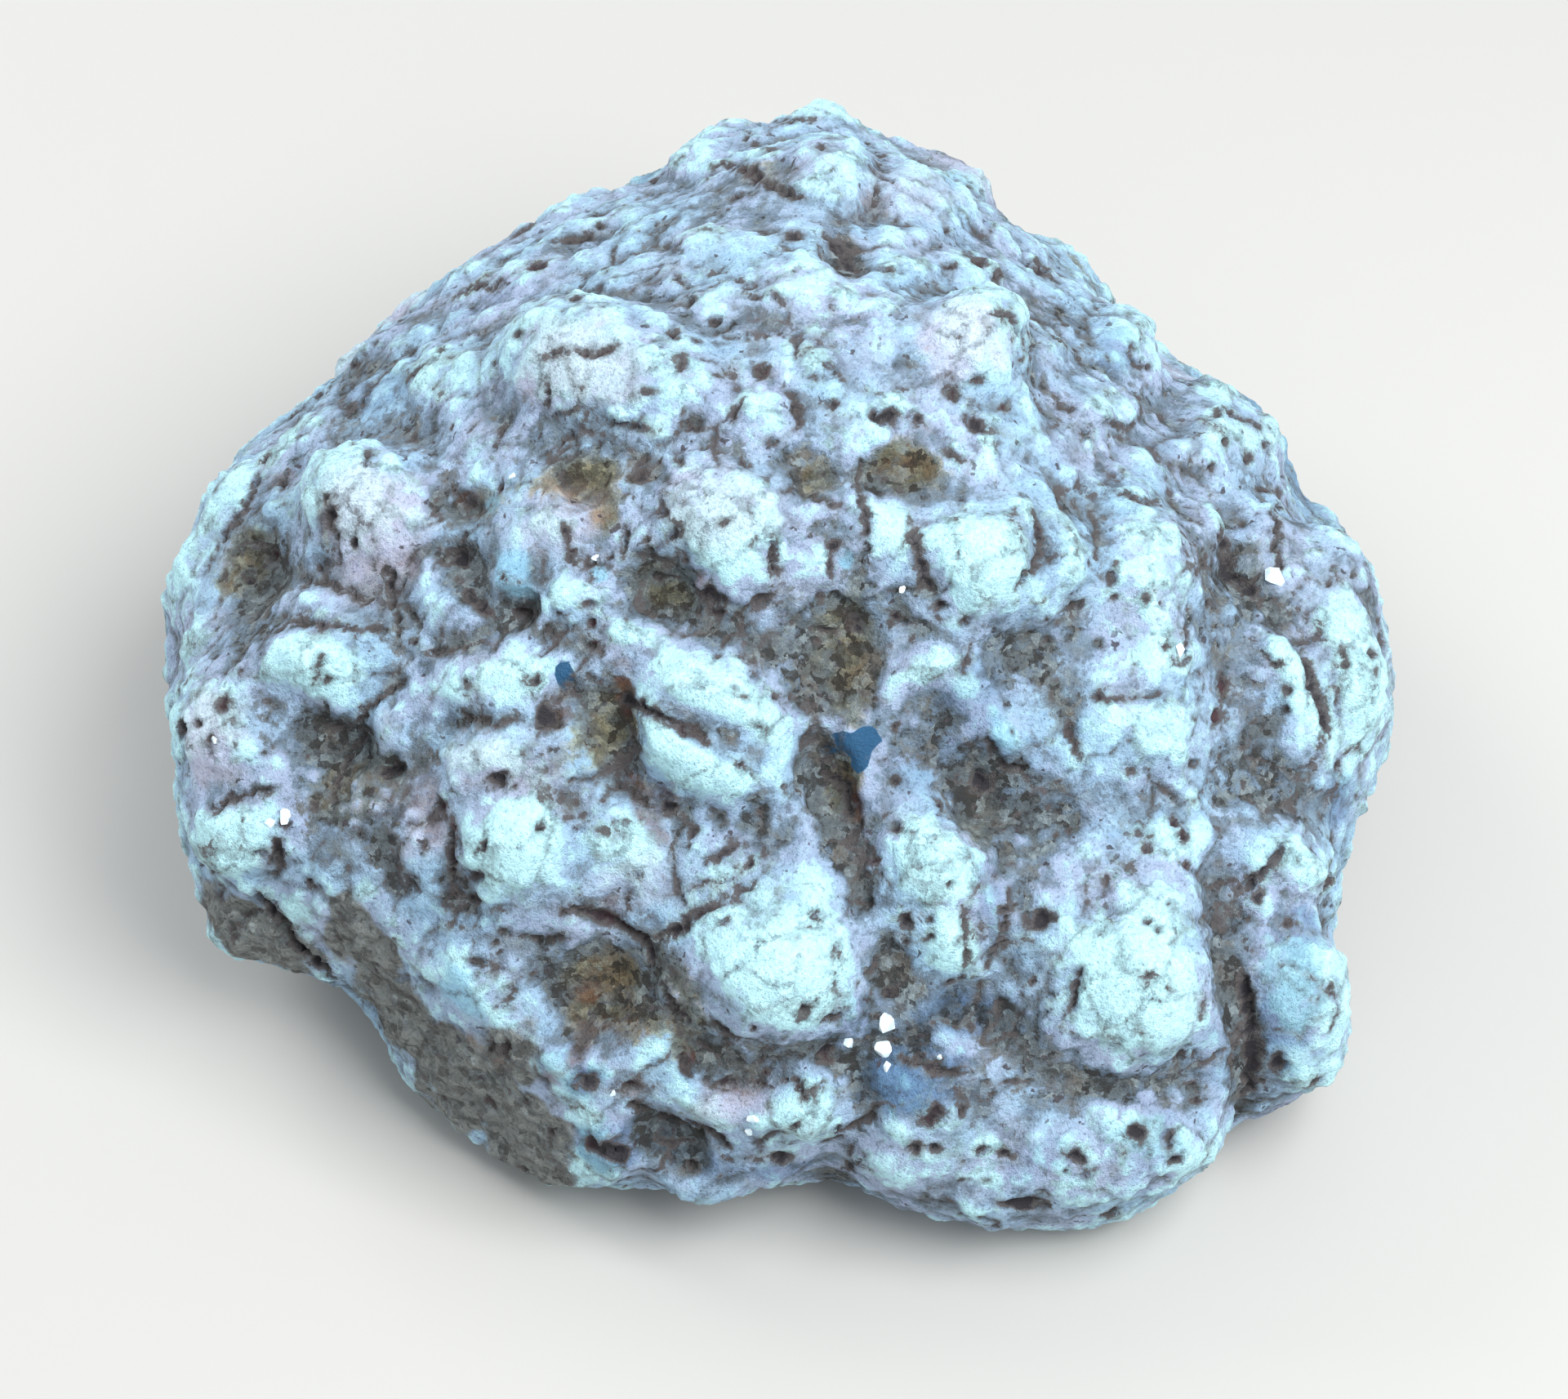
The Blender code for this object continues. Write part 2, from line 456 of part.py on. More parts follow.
def cut_broken_face(points):
    """Push most of what stands beyond the broken face back to it."""
    first, second, third = (np.array(seen(u, v, share * SKIN_HEIGHT)) for (u, v), share in BROKEN_FACE)
    out = np.cross(second - first, third - first)
    out /= np.linalg.norm(out)
    if out @ (first - np.array(CORE)) < 0.0:
        out = -out
    beyond = np.clip((points - first) @ out - BROKEN_FACE_OUT, 0.0, None)
    share = np.clip((points[:, 0] - BROKEN_FACE_START) / BROKEN_FACE_EASE, 0.0, 1.0)
    return points - (beyond * share * (1.0 - BROKEN_FACE_RELIEF))[:, None] * out


def outline_reach():
    """How far the outline lies from its middle, in pixels, at each of its turns."""
    angles, reaches = [], []
    count = len(OUTLINE)
    for i in range(count):
        four = [np.array(OUTLINE[(i + k) % count][0]) for k in (-1, 0, 1, 2)]
        for step in range(OUTLINE_STEPS):
            t = step / OUTLINE_STEPS
            bend = 2.0 * four[1] + (four[2] - four[0]) * t
            bend = bend + (2.0 * four[0] - 5.0 * four[1] + 4.0 * four[2] - four[3]) * t * t
            bend = bend + (3.0 * (four[1] - four[2]) + four[3] - four[0]) * t * t * t
            u, v = 0.5 * bend - np.array(OUTLINE_MIDDLE)
            angles.append(math.atan2(-v, u))
            reaches.append(math.hypot(u, v))
    order = np.argsort(angles)
    turns = (np.arange(OUTLINE_BINS) + 0.5) / OUTLINE_BINS * 2.0 * math.pi - math.pi
    return np.interp(turns, np.array(angles)[order], np.array(reaches)[order], period=2.0 * math.pi)


def even_out(values, blur):
    """A running mean around the full turn, weighted to its middle."""
    weights = np.hanning(blur + 3)
    around = np.concatenate([values[-blur:], values, values[:blur]])
    return np.convolve(around, weights / weights.sum(), "same")[blur:-blur]


def fit_to_outline(points, fit):
    """Stretch the stone across the line of sight until its outline is the one that is seen."""
    wanted = outline_reach() - fit.room * PIXELS_PER_MM
    turns = (np.arange(OUTLINE_BINS) + 0.5) / OUTLINE_BINS * 2.0 * math.pi - math.pi
    eye, right, up, forward = (np.array(way) for way in (EYE, VIEW_RIGHT, VIEW_UP, VIEW_FORWARD))
    for _ in range(OUTLINE_PASSES):
        sight = points - eye
        depth = sight @ forward
        scale = PIXELS_PER_MM * VIEW_DISTANCE / depth
        u = PHOTO_CENTRE[0] + sight @ right * scale - OUTLINE_MIDDLE[0]
        v = OUTLINE_MIDDLE[1] - (PHOTO_CENTRE[1] - sight @ up * scale)
        angle = np.arctan2(v, u)
        reach = np.hypot(u, v)
        spot = ((angle + math.pi) / (2.0 * math.pi) * OUTLINE_BINS).astype(int) % OUTLINE_BINS
        order = np.lexsort((reach, spot))
        farthest = order[np.searchsorted(spot[order], np.arange(OUTLINE_BINS), "right") - 1]
        ratio = even_out(wanted / reach[farthest], fit.blur)
        factor = np.interp(angle, turns, ratio, period=2.0 * math.pi) - 1.0
        edge = np.interp(angle, turns, reach[farthest], period=2.0 * math.pi)
        edge_depth = even_out(depth[farthest], EDGE_BLUR)
        behind = depth - np.interp(angle, turns, edge_depth, period=2.0 * math.pi)
        share = factor * np.clip(reach / edge, 0.0, 1.0) ** STRETCH_POWER
        share *= np.exp(-((behind / fit.roll) ** 2))
        points = points + ((u * share / scale)[:, None] * right + (v * share / scale)[:, None] * up)
    return points


def press_foot(points):
    """Press the underside down over the foot, where the skin leaves it a little hollow."""
    offsets = (points[:, :2] - np.array(FOOT_CENTRE)) * 2.0 / np.array([FOOT_WIDTH, FOOT_DEPTH])
    spread = np.linalg.norm(offsets, axis=1)
    share = np.clip((FOOT_MARGIN - spread) / (FOOT_MARGIN - 1.0), 0.0, 1.0)
    share[points[:, 2] > UNDERSIDE_TOP] = 0.0
    pressed = points.copy()
    pressed[:, 2] -= share * FOOT_PRESS
    return pressed


def shape_stone(points, faces):
    """Move the points of a ball to the finished surface of the stone, in millimetres."""
    anchors = outline_anchors() + hidden_anchors()
    anchors += [seen(u, v, share * SKIN_HEIGHT) for (u, v), share in DOME]
    ways = points / np.linalg.norm(points, axis=1)[:, None]
    skin = np.array(CORE) + ways * fit_skin(anchors)(ways)[:, None]
    skin = fit_to_outline(skin, SKIN_FIT)
    normals = vertex_normals(skin, faces)
    tree = BVHTree.FromPolygons([Vector(p) for p in skin], faces.tolist())
    hidden = hidden_share(skin, normals)
    fade = np.clip((skin[:, 2] - FADE_FROM) / (FADE_TO - FADE_FROM), 0.0, 1.0)
    seen_share = 1.0 - hidden
    swells = raise_seen_knobs(skin, tree, SWELLS) * seen_share + grow(skin, normals, HIDDEN_SWELLS) * hidden
    knobs = raise_seen_knobs(skin, tree, KNOBS) * seen_share + grow(skin, normals, HIDDEN_KNOBS) * hidden
    raised = swells + np.maximum(knobs, grow(skin, normals, FILLING_KNOBS))
    sunk = raise_seen_knobs(skin, tree, HOLLOWS) + cut_furrows(skin, tree)
    stone = cut_broken_face(skin + normals * ((raised - sunk) * fade)[:, None])
    stone = press_foot(fit_to_outline(stone, KNOBS_FIT))
    stone[:, 2] = np.maximum(stone[:, 2], 0.0)
    return stone


def chalcedony():
    """The crust's plain finish: a pale, slightly waxy blue grey."""
    material = bpy.data.materials.new("chalcedony")
    material.use_nodes = True
    shader = material.node_tree.nodes["Principled BSDF"]
    shader.inputs["Base Color"].default_value = (0.52, 0.58, 0.62, 1.0)
    shader.inputs["Roughness"].default_value = 0.55
    shader.inputs["Metallic"].default_value = 0.0
    return material


def build_geode(collection):
    """The stone: a fine ball shaped in code, thinned to a faceted solid and set on its origin."""
    bpy.ops.mesh.primitive_ico_sphere_add(subdivisions=BALL_STEPS, radius=1.0)
    geode = bpy.context.object
    geode.name = NODE_NAME
    mesh = geode.data
    mesh.name = NODE_NAME
    points = np.empty(len(mesh.vertices) * 3)
    mesh.vertices.foreach_get("co", points)
    faces = np.empty(len(mesh.polygons) * 3, dtype=np.int32)
    mesh.polygons.foreach_get("vertices", faces)
    stone = shape_stone(points.reshape(-1, 3), faces.reshape(-1, 3))
    mesh.vertices.foreach_set("co", (stone * METRES).ravel())
    mesh.update()
    ease = geode.modifiers.new("ease", "SMOOTH")
    ease.factor = EASE_FACTOR
    ease.iterations = EASE_ROUNDS
    bpy.ops.object.modifier_apply(modifier=ease.name)
    thin = geode.modifiers.new("thin", "DECIMATE")
    thin.ratio = TRIANGLES / len(mesh.polygons)
    bpy.ops.object.modifier_apply(modifier=thin.name)
    centre_on_floor(mesh)
    mesh.materials.append(chalcedony())
    for owner in geode.users_collection:
        owner.objects.unlink(geode)
    collection.objects.link(geode)
    return geode


def centre_on_floor(mesh):
    """Move the mesh so that its bounding box stands centred on the origin."""
    places = np.empty(len(mesh.vertices) * 3)
    mesh.vertices.foreach_get("co", places)
    places = places.reshape(-1, 3)
    low, high = places.min(axis=0), places.max(axis=0)
    shift = np.array([(low[0] + high[0]) / 2.0, (low[1] + high[1]) / 2.0, low[2]])
    mesh.vertices.foreach_set("co", (places - shift).ravel())
    mesh.update()


def main():
    for thing in list(bpy.data.objects):
        bpy.data.objects.remove(thing)
    collection = bpy.data.collections.new(COLLECTION_NAME)
    bpy.context.scene.collection.children.link(collection)
    build_geode(collection)


main()
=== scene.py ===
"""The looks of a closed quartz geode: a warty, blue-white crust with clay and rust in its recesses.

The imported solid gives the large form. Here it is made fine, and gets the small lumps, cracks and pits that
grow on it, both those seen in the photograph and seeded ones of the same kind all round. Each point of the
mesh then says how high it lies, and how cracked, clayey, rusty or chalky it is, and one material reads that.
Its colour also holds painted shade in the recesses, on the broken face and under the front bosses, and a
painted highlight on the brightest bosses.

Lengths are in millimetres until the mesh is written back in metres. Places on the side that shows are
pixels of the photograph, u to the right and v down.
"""

import math
from typing import NamedTuple

import bmesh
import bpy
import numpy as np
from mathutils import Matrix, Vector, noise
from mathutils.bvhtree import BVHTree
from mathutils.kdtree import KDTree


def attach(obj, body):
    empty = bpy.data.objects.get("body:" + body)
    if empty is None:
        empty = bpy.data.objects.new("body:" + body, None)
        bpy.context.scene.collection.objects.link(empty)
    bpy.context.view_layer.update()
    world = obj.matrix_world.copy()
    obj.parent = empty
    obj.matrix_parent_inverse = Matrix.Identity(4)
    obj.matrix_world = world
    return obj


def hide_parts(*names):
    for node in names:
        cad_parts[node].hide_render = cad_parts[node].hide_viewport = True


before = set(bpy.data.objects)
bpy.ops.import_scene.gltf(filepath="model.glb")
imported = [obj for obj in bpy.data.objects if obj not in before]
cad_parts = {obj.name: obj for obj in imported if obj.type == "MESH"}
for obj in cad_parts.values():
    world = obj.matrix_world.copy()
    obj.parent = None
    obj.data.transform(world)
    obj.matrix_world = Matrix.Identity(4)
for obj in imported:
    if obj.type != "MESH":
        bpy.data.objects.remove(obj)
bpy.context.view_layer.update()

MM = 0.001

# How the photograph looks at the stone
VIEW_ELEVATION = math.radians(50.0)
VIEW_DISTANCE = 520.0
AIM_POINT = Vector((0.43, -16.73, 36.0))
PHOTO_SIZE = (1920.0, 1713.0)
PHOTO_CENTRE = (960.0, 856.5)
PIXELS_PER_MM = 1521.0 / 152.0
SENSOR = 36.0

VIEW_FORWARD = Vector((0.0, math.cos(VIEW_ELEVATION), -math.sin(VIEW_ELEVATION)))
VIEW_RIGHT = Vector((1.0, 0.0, 0.0))
VIEW_UP = Vector((0.0, math.sin(VIEW_ELEVATION), math.cos(VIEW_ELEVATION)))
EYE = AIM_POINT - VIEW_FORWARD * VIEW_DISTANCE

# How fine the mesh is: the size of a cell in mm while it is shaped, and the triangles that are left
CELL = 0.52
TRIANGLES = 194000

# Heights and places are rounded to this many digits of a millimetre, so that each run gives the same mesh
STEADY_DIGITS = 6

# Ground that is seen edge-on draws a spot out along it, to at most 1 / LEAST_OPEN of its size as seen
LEAST_OPEN = 0.45


class Spot(NamedTuple):
    """A place on the side that shows: its middle pixel, its size across and along as seen in mm, its
    strength, which is a depth in mm or a share, and the turn of its first size in degrees anticlockwise."""

    u: float
    v: float
    across: float
    along: float
    strength: float = 1.0
    turn: float = 0.0


def spots(*rows):
    """A table of spots, from rows of their numbers."""
    return [Spot(*row) for row in rows]


class Crack(NamedTuple):
    """A crack: the pixels that it runs through, its width and its depth in mm."""

    path: tuple
    width: float
    depth: float


class Growth(NamedTuple):
    """Seeded features all round: how many, least and greatest size in mm, least and greatest strength, which
    is a lump's height as a share of its width or a depth in mm, a seed, and how strongly they keep to the
    recesses, from 0 to 1."""

    count: int
    least: float
    most: float
    weakest: float
    strongest: float
    seed: int
    in_recesses: float = 0.0


# Black holes and short gashes, from the peak down
PITS = spots(
    # Upper left
    (735, 262, 2.5, 1.5), (708, 292, 5.5, 1.2, 0.8, 15), (655, 325, 3.0, 2.2, 0.9),
    (575, 350, 4.5, 1.3, 0.8, 20), (505, 430, 1.2, 1.2, 0.8), (465, 408, 1.4, 1.0, 0.7),
    (430, 445, 2.0, 1.4, 0.8, 30), (512, 455, 3.2, 0.9, 0.8, 22), (390, 483, 1.3, 1.0, 0.7),
    (425, 497, 1.4, 1.0, 0.7), (362, 508, 2.6, 0.8, 0.7, 30), (324, 562, 2.2, 0.9, 0.8, 60),
    (313, 590, 0.9, 1.2, 0.9), (347, 590, 1.2, 1.8, 0.9), (275, 660, 1.0, 1.0, 0.7),
    (504, 538, 0.9, 2.0, 0.8, -20), (452, 558, 1.0, 1.6, 0.9), (400, 635, 1.8, 2.5, 1.1),
    (397, 610, 1.4, 1.0, 0.6), (575, 618, 1.6, 1.2, 0.8), (705, 365, 1.6, 0.7, 0.6),
    (633, 410, 1.0, 0.9, 0.6), (680, 430, 3.2, 0.8, 0.6, 10), (766, 521, 4.2, 0.7, 0.8),
    (700, 535, 1.2, 0.9, 0.6), (613, 532, 3.4, 0.7, 0.6, 62), (670, 484, 0.7, 3.0, 0.5),
    # Crown
    (1006, 180, 1.4, 0.8, 0.6), (925, 215, 1.5, 2.8, 0.9), (905, 240, 3.0, 0.9, 0.8),
    (972, 288, 2.3, 1.7, 0.8), (1165, 325, 1.5, 1.1, 0.8), (1195, 320, 2.6, 2.4, 0.9),
    (1225, 335, 1.4, 2.3, 0.9), (1088, 330, 2.6, 0.9, 0.6), (1275, 330, 2.2, 2.6, 0.9),
    (1337, 320, 1.8, 0.8, 0.6, -30), (1275, 395, 3.0, 1.1, 0.8), (805, 220, 2.4, 1.4, 0.8, 20),
    # Upper slope
    (840, 368, 2.8, 1.6), (877, 335, 2.2, 1.0, 0.6, 20), (905, 345, 1.1, 1.0, 0.7),
    (925, 363, 1.5, 1.0, 0.8), (952, 366, 2.3, 0.8, 0.7, -48), (875, 395, 1.4, 1.3, 0.9),
    (825, 408, 1.2, 1.4, 0.8), (835, 445, 1.0, 2.4, 0.8), (975, 420, 0.8, 2.4, 0.7),
    (930, 455, 2.4, 1.7, 0.8), (885, 460, 1.8, 0.9, 0.5), (790, 480, 1.8, 0.9, 0.5),
    (1000, 462, 1.2, 1.0, 0.6), (1020, 495, 1.4, 1.0, 0.7), (850, 520, 1.6, 1.4, 0.8),
    (945, 542, 1.4, 0.8, 0.7), (1085, 510, 3.3, 2.0), (1125, 512, 1.1, 1.0, 0.7),
    (1195, 515, 2.3, 2.3, 0.9), (1165, 482, 1.6, 1.5, 0.8), (1195, 465, 1.6, 1.0, 0.7),
    (1230, 497, 1.1, 1.0, 0.6), (1295, 413, 2.6, 0.9, 0.8, -40), (1322, 440, 0.8, 1.8, 0.8),
    (1302, 498, 2.0, 1.4, 0.9), (1328, 530, 1.3, 1.1, 0.7), (1170, 557, 2.6, 0.9, 0.7, -25),
    (1420, 512, 1.1, 1.0, 0.6),
    # Right
    (1500, 540, 1.1, 1.0, 0.8), (1530, 560, 1.1, 1.0, 0.8), (1485, 573, 1.1, 0.9, 0.7),
    (1550, 545, 1.0, 1.0, 0.7), (1545, 600, 2.0, 0.7, 0.6), (1403, 733, 0.8, 0.7, 0.7),
    (1365, 730, 1.2, 1.0, 0.7), (1362, 705, 1.4, 2.4, 0.8), (1315, 743, 2.0, 1.6, 0.9),
    (1282, 785, 1.2, 1.1, 0.8), (1345, 787, 1.2, 1.1, 0.8), (1343, 852, 1.4, 1.2, 0.8),
    (1473, 690, 1.0, 1.9, 0.8), (1481, 737, 1.2, 1.1, 0.7), (1498, 838, 1.4, 3.2, 0.8),
    (1490, 880, 2.0, 2.4, 0.9), (1610, 630, 0.9, 0.8, 0.7), (1648, 653, 0.9, 0.8, 0.7),
    (1632, 698, 0.9, 0.8, 0.7), (1657, 705, 0.6, 1.7, 0.7), (1628, 715, 0.9, 0.8, 0.7),
    (1685, 760, 1.0, 0.8, 0.7), (1692, 785, 1.2, 2.0, 0.9), (1682, 800, 1.2, 1.4, 0.8),
    (1645, 800, 1.0, 0.9, 0.7), (1648, 814, 0.9, 0.8, 0.6), (1638, 857, 0.6, 4.4, 0.6, 4),
    (1640, 940, 1.2, 1.4, 0.8), (1577, 845, 1.0, 1.0, 0.7), (1575, 870, 1.0, 1.1, 0.7),
    (1632, 1072, 1.0, 2.8, 0.8), (1395, 1022, 1.0, 0.9, 0.7), (1410, 1022, 0.9, 0.8, 0.6),
    (1437, 1005, 1.4, 1.3, 0.9), (1450, 1020, 1.4, 1.7, 0.9), (1405, 1038, 1.2, 1.0, 0.7),
    (1460, 935, 1.2, 1.0, 0.7), (1385, 945, 1.1, 1.0, 0.7), (1355, 1075, 1.0, 1.2, 0.8),
    # Middle
    (785, 583, 3.0, 1.4, 0.9, 10), (790, 562, 1.4, 1.0, 0.7), (832, 562, 1.0, 1.0, 0.7),
    (910, 566, 1.4, 0.8, 0.7, -30), (812, 628, 1.4, 0.9, 0.7, 30), (885, 640, 1.5, 0.8, 0.6, 30),
    (825, 655, 1.3, 1.2, 0.8), (868, 728, 2.6, 2.0, 0.9), (875, 750, 2.6, 1.0, 0.8),
    (905, 755, 2.0, 1.0, 0.8), (930, 735, 3.4, 1.2, 0.8, 25), (948, 688, 1.3, 4.3, 1.0, 10),
    (1020, 665, 1.6, 1.3, 0.8), (1017, 690, 0.7, 3.0, 0.6), (1005, 732, 1.2, 1.1, 0.8),
    (1020, 730, 1.1, 1.1, 0.8), (1033, 735, 1.1, 1.0, 0.8), (1150, 742, 1.4, 1.2, 1.1, 20),
    (1150, 757, 0.9, 0.7, 0.7), (1181, 760, 1.4, 1.1, 0.8), (1095, 757, 2.6, 1.9, 1.1),
    (1010, 773, 2.4, 0.9, 0.9), (1048, 762, 2.2, 1.8, 0.9), (818, 988, 2.2, 1.5), (770, 857, 1.6, 1.6),
    (910, 936, 1.4, 1.2, 0.8), (1095, 957, 1.6, 1.2, 0.9), (1200, 957, 3.6, 2.4, 1.2),
    (1095, 1012, 1.2, 1.3, 0.8), (1095, 890, 1.2, 1.2, 0.8), (918, 1058, 1.6, 1.6, 1.1, 30),
    (1067, 1052, 1.8, 0.9, 0.7),
    # Left
    (335, 680, 1.6, 2.2), (305, 710, 1.8, 1.8), (435, 668, 1.8, 1.8, 1.1), (642, 750, 2.5, 1.5, 1.4, 10),
    (655, 835, 1.5, 1.2, 0.9), (672, 877, 2.4, 3.6, 1.2), (562, 684, 2.6, 2.4), (505, 788, 1.4, 1.0, 0.7),
    (460, 770, 2.0, 1.0, 0.7), (612, 955, 2.4, 1.8, 0.9), (540, 985, 1.2, 1.8, 0.9),
    (580, 1074, 2.2, 1.4), (580, 1100, 2.0, 1.2, 0.9), (663, 1011, 1.4, 1.1, 1.0, 20),
    (480, 942, 3.0, 2.0, 1.2), (272, 862, 1.2, 2.0, 0.9), (240, 885, 1.1, 1.1, 0.8), (221, 892, 1.8, 2.2),
    (258, 905, 1.0, 1.0, 0.7), (340, 1050, 1.8, 3.8, 1.1, -25), (385, 985, 1.2, 1.0, 0.7),
    (720, 740, 1.4, 1.0, 0.7), (725, 788, 3.2, 1.6, 1.0, -30), (725, 765, 1.5, 1.4, 0.9),
    # Lower left
    (415, 1150, 1.0, 0.6, 0.6, -30), (600, 1350, 2.0, 0.9, 0.6, -20), (675, 1385, 1.0, 1.0, 0.7),
    (285, 1148, 1.4, 0.6, 0.6), (617, 1143, 2.0, 1.1, 1.0, -20), (592, 1180, 3.6, 0.9, 0.7, -10),
    (601, 1283, 1.2, 2.6, 1.0, -20), (617, 1288, 1.0, 2.6), (716, 1326, 2.4, 2.4, 1.1),
    (770, 1332, 3.2, 1.4, 1.1, 10), (745, 1412, 4.6, 3.6, 1.2),
    # Front
    (710, 1282, 0.9, 2.8, 0.9, -10), (838, 1305, 1.2, 2.5, 1.0, 15), (1000, 1122, 1.5, 0.9, 0.7),
    (1025, 1160, 0.7, 1.1, 0.7), (1001, 1226, 0.6, 0.7, 0.7), (985, 1240, 1.0, 1.9, 0.9, -35),
    (1012, 1289, 2.0, 2.2, 0.9), (890, 1326, 2.6, 1.4), (927, 1325, 1.9, 1.0, 0.8, 20),
    (972, 1380, 1.8, 0.7, 0.6, 45), (843, 1428, 2.0, 1.6, 1.1), (960, 1420, 2.8, 1.9, 1.1),
    (1090, 1215, 1.6, 1.3), (1108, 1128, 1.4, 2.2), (1136, 1148, 1.0, 0.9, 0.8, 30),
    (1222, 1236, 1.0, 2.4, 0.9, -20), (1150, 1312, 3.8, 1.8, 1.1), (1143, 1366, 2.6, 2.4),
    (1178, 1360, 1.6, 1.4, 0.8), (1120, 1408, 1.8, 1.4, 0.9), (1146, 1406, 1.4, 1.0, 0.8),
    (1201, 1409, 1.6, 1.2, 0.9), (1228, 1415, 1.8, 1.6, 1.0, -30), (1275, 1126, 3.4, 2.0, 0.8, 20),
    (1407, 1128, 1.0, 1.0, 0.9), (1420, 1140, 0.8, 0.8, 0.7), (1433, 1210, 0.8, 0.8, 0.7),
    (1445, 1297, 1.1, 2.6, 1.1, -20), (1460, 1330, 1.8, 1.0, 0.9), (1532, 1300, 2.4, 5.0, 1.2),
    (1565, 1303, 1.8, 2.2, 0.9), (1575, 1130, 1.8, 1.2, 0.7), (1575, 1340, 1.6, 1.2, 1.0, 30),
    (1610, 1325, 1.6, 1.0, 0.9, 30), (1395, 1390, 2.8, 2.2, 1.1), (1430, 1395, 1.4, 2.3),
    (1440, 1420, 1.6, 1.2, 0.9), (1316, 1417, 2.3, 1.9, 1.1), (1330, 1440, 1.6, 1.2, 0.9),
    (1255, 1475, 4.2, 3.4, 1.1), (1360, 1485, 1.8, 1.2, 0.9), (1060, 1105, 1.6, 1.2, 0.7),
)
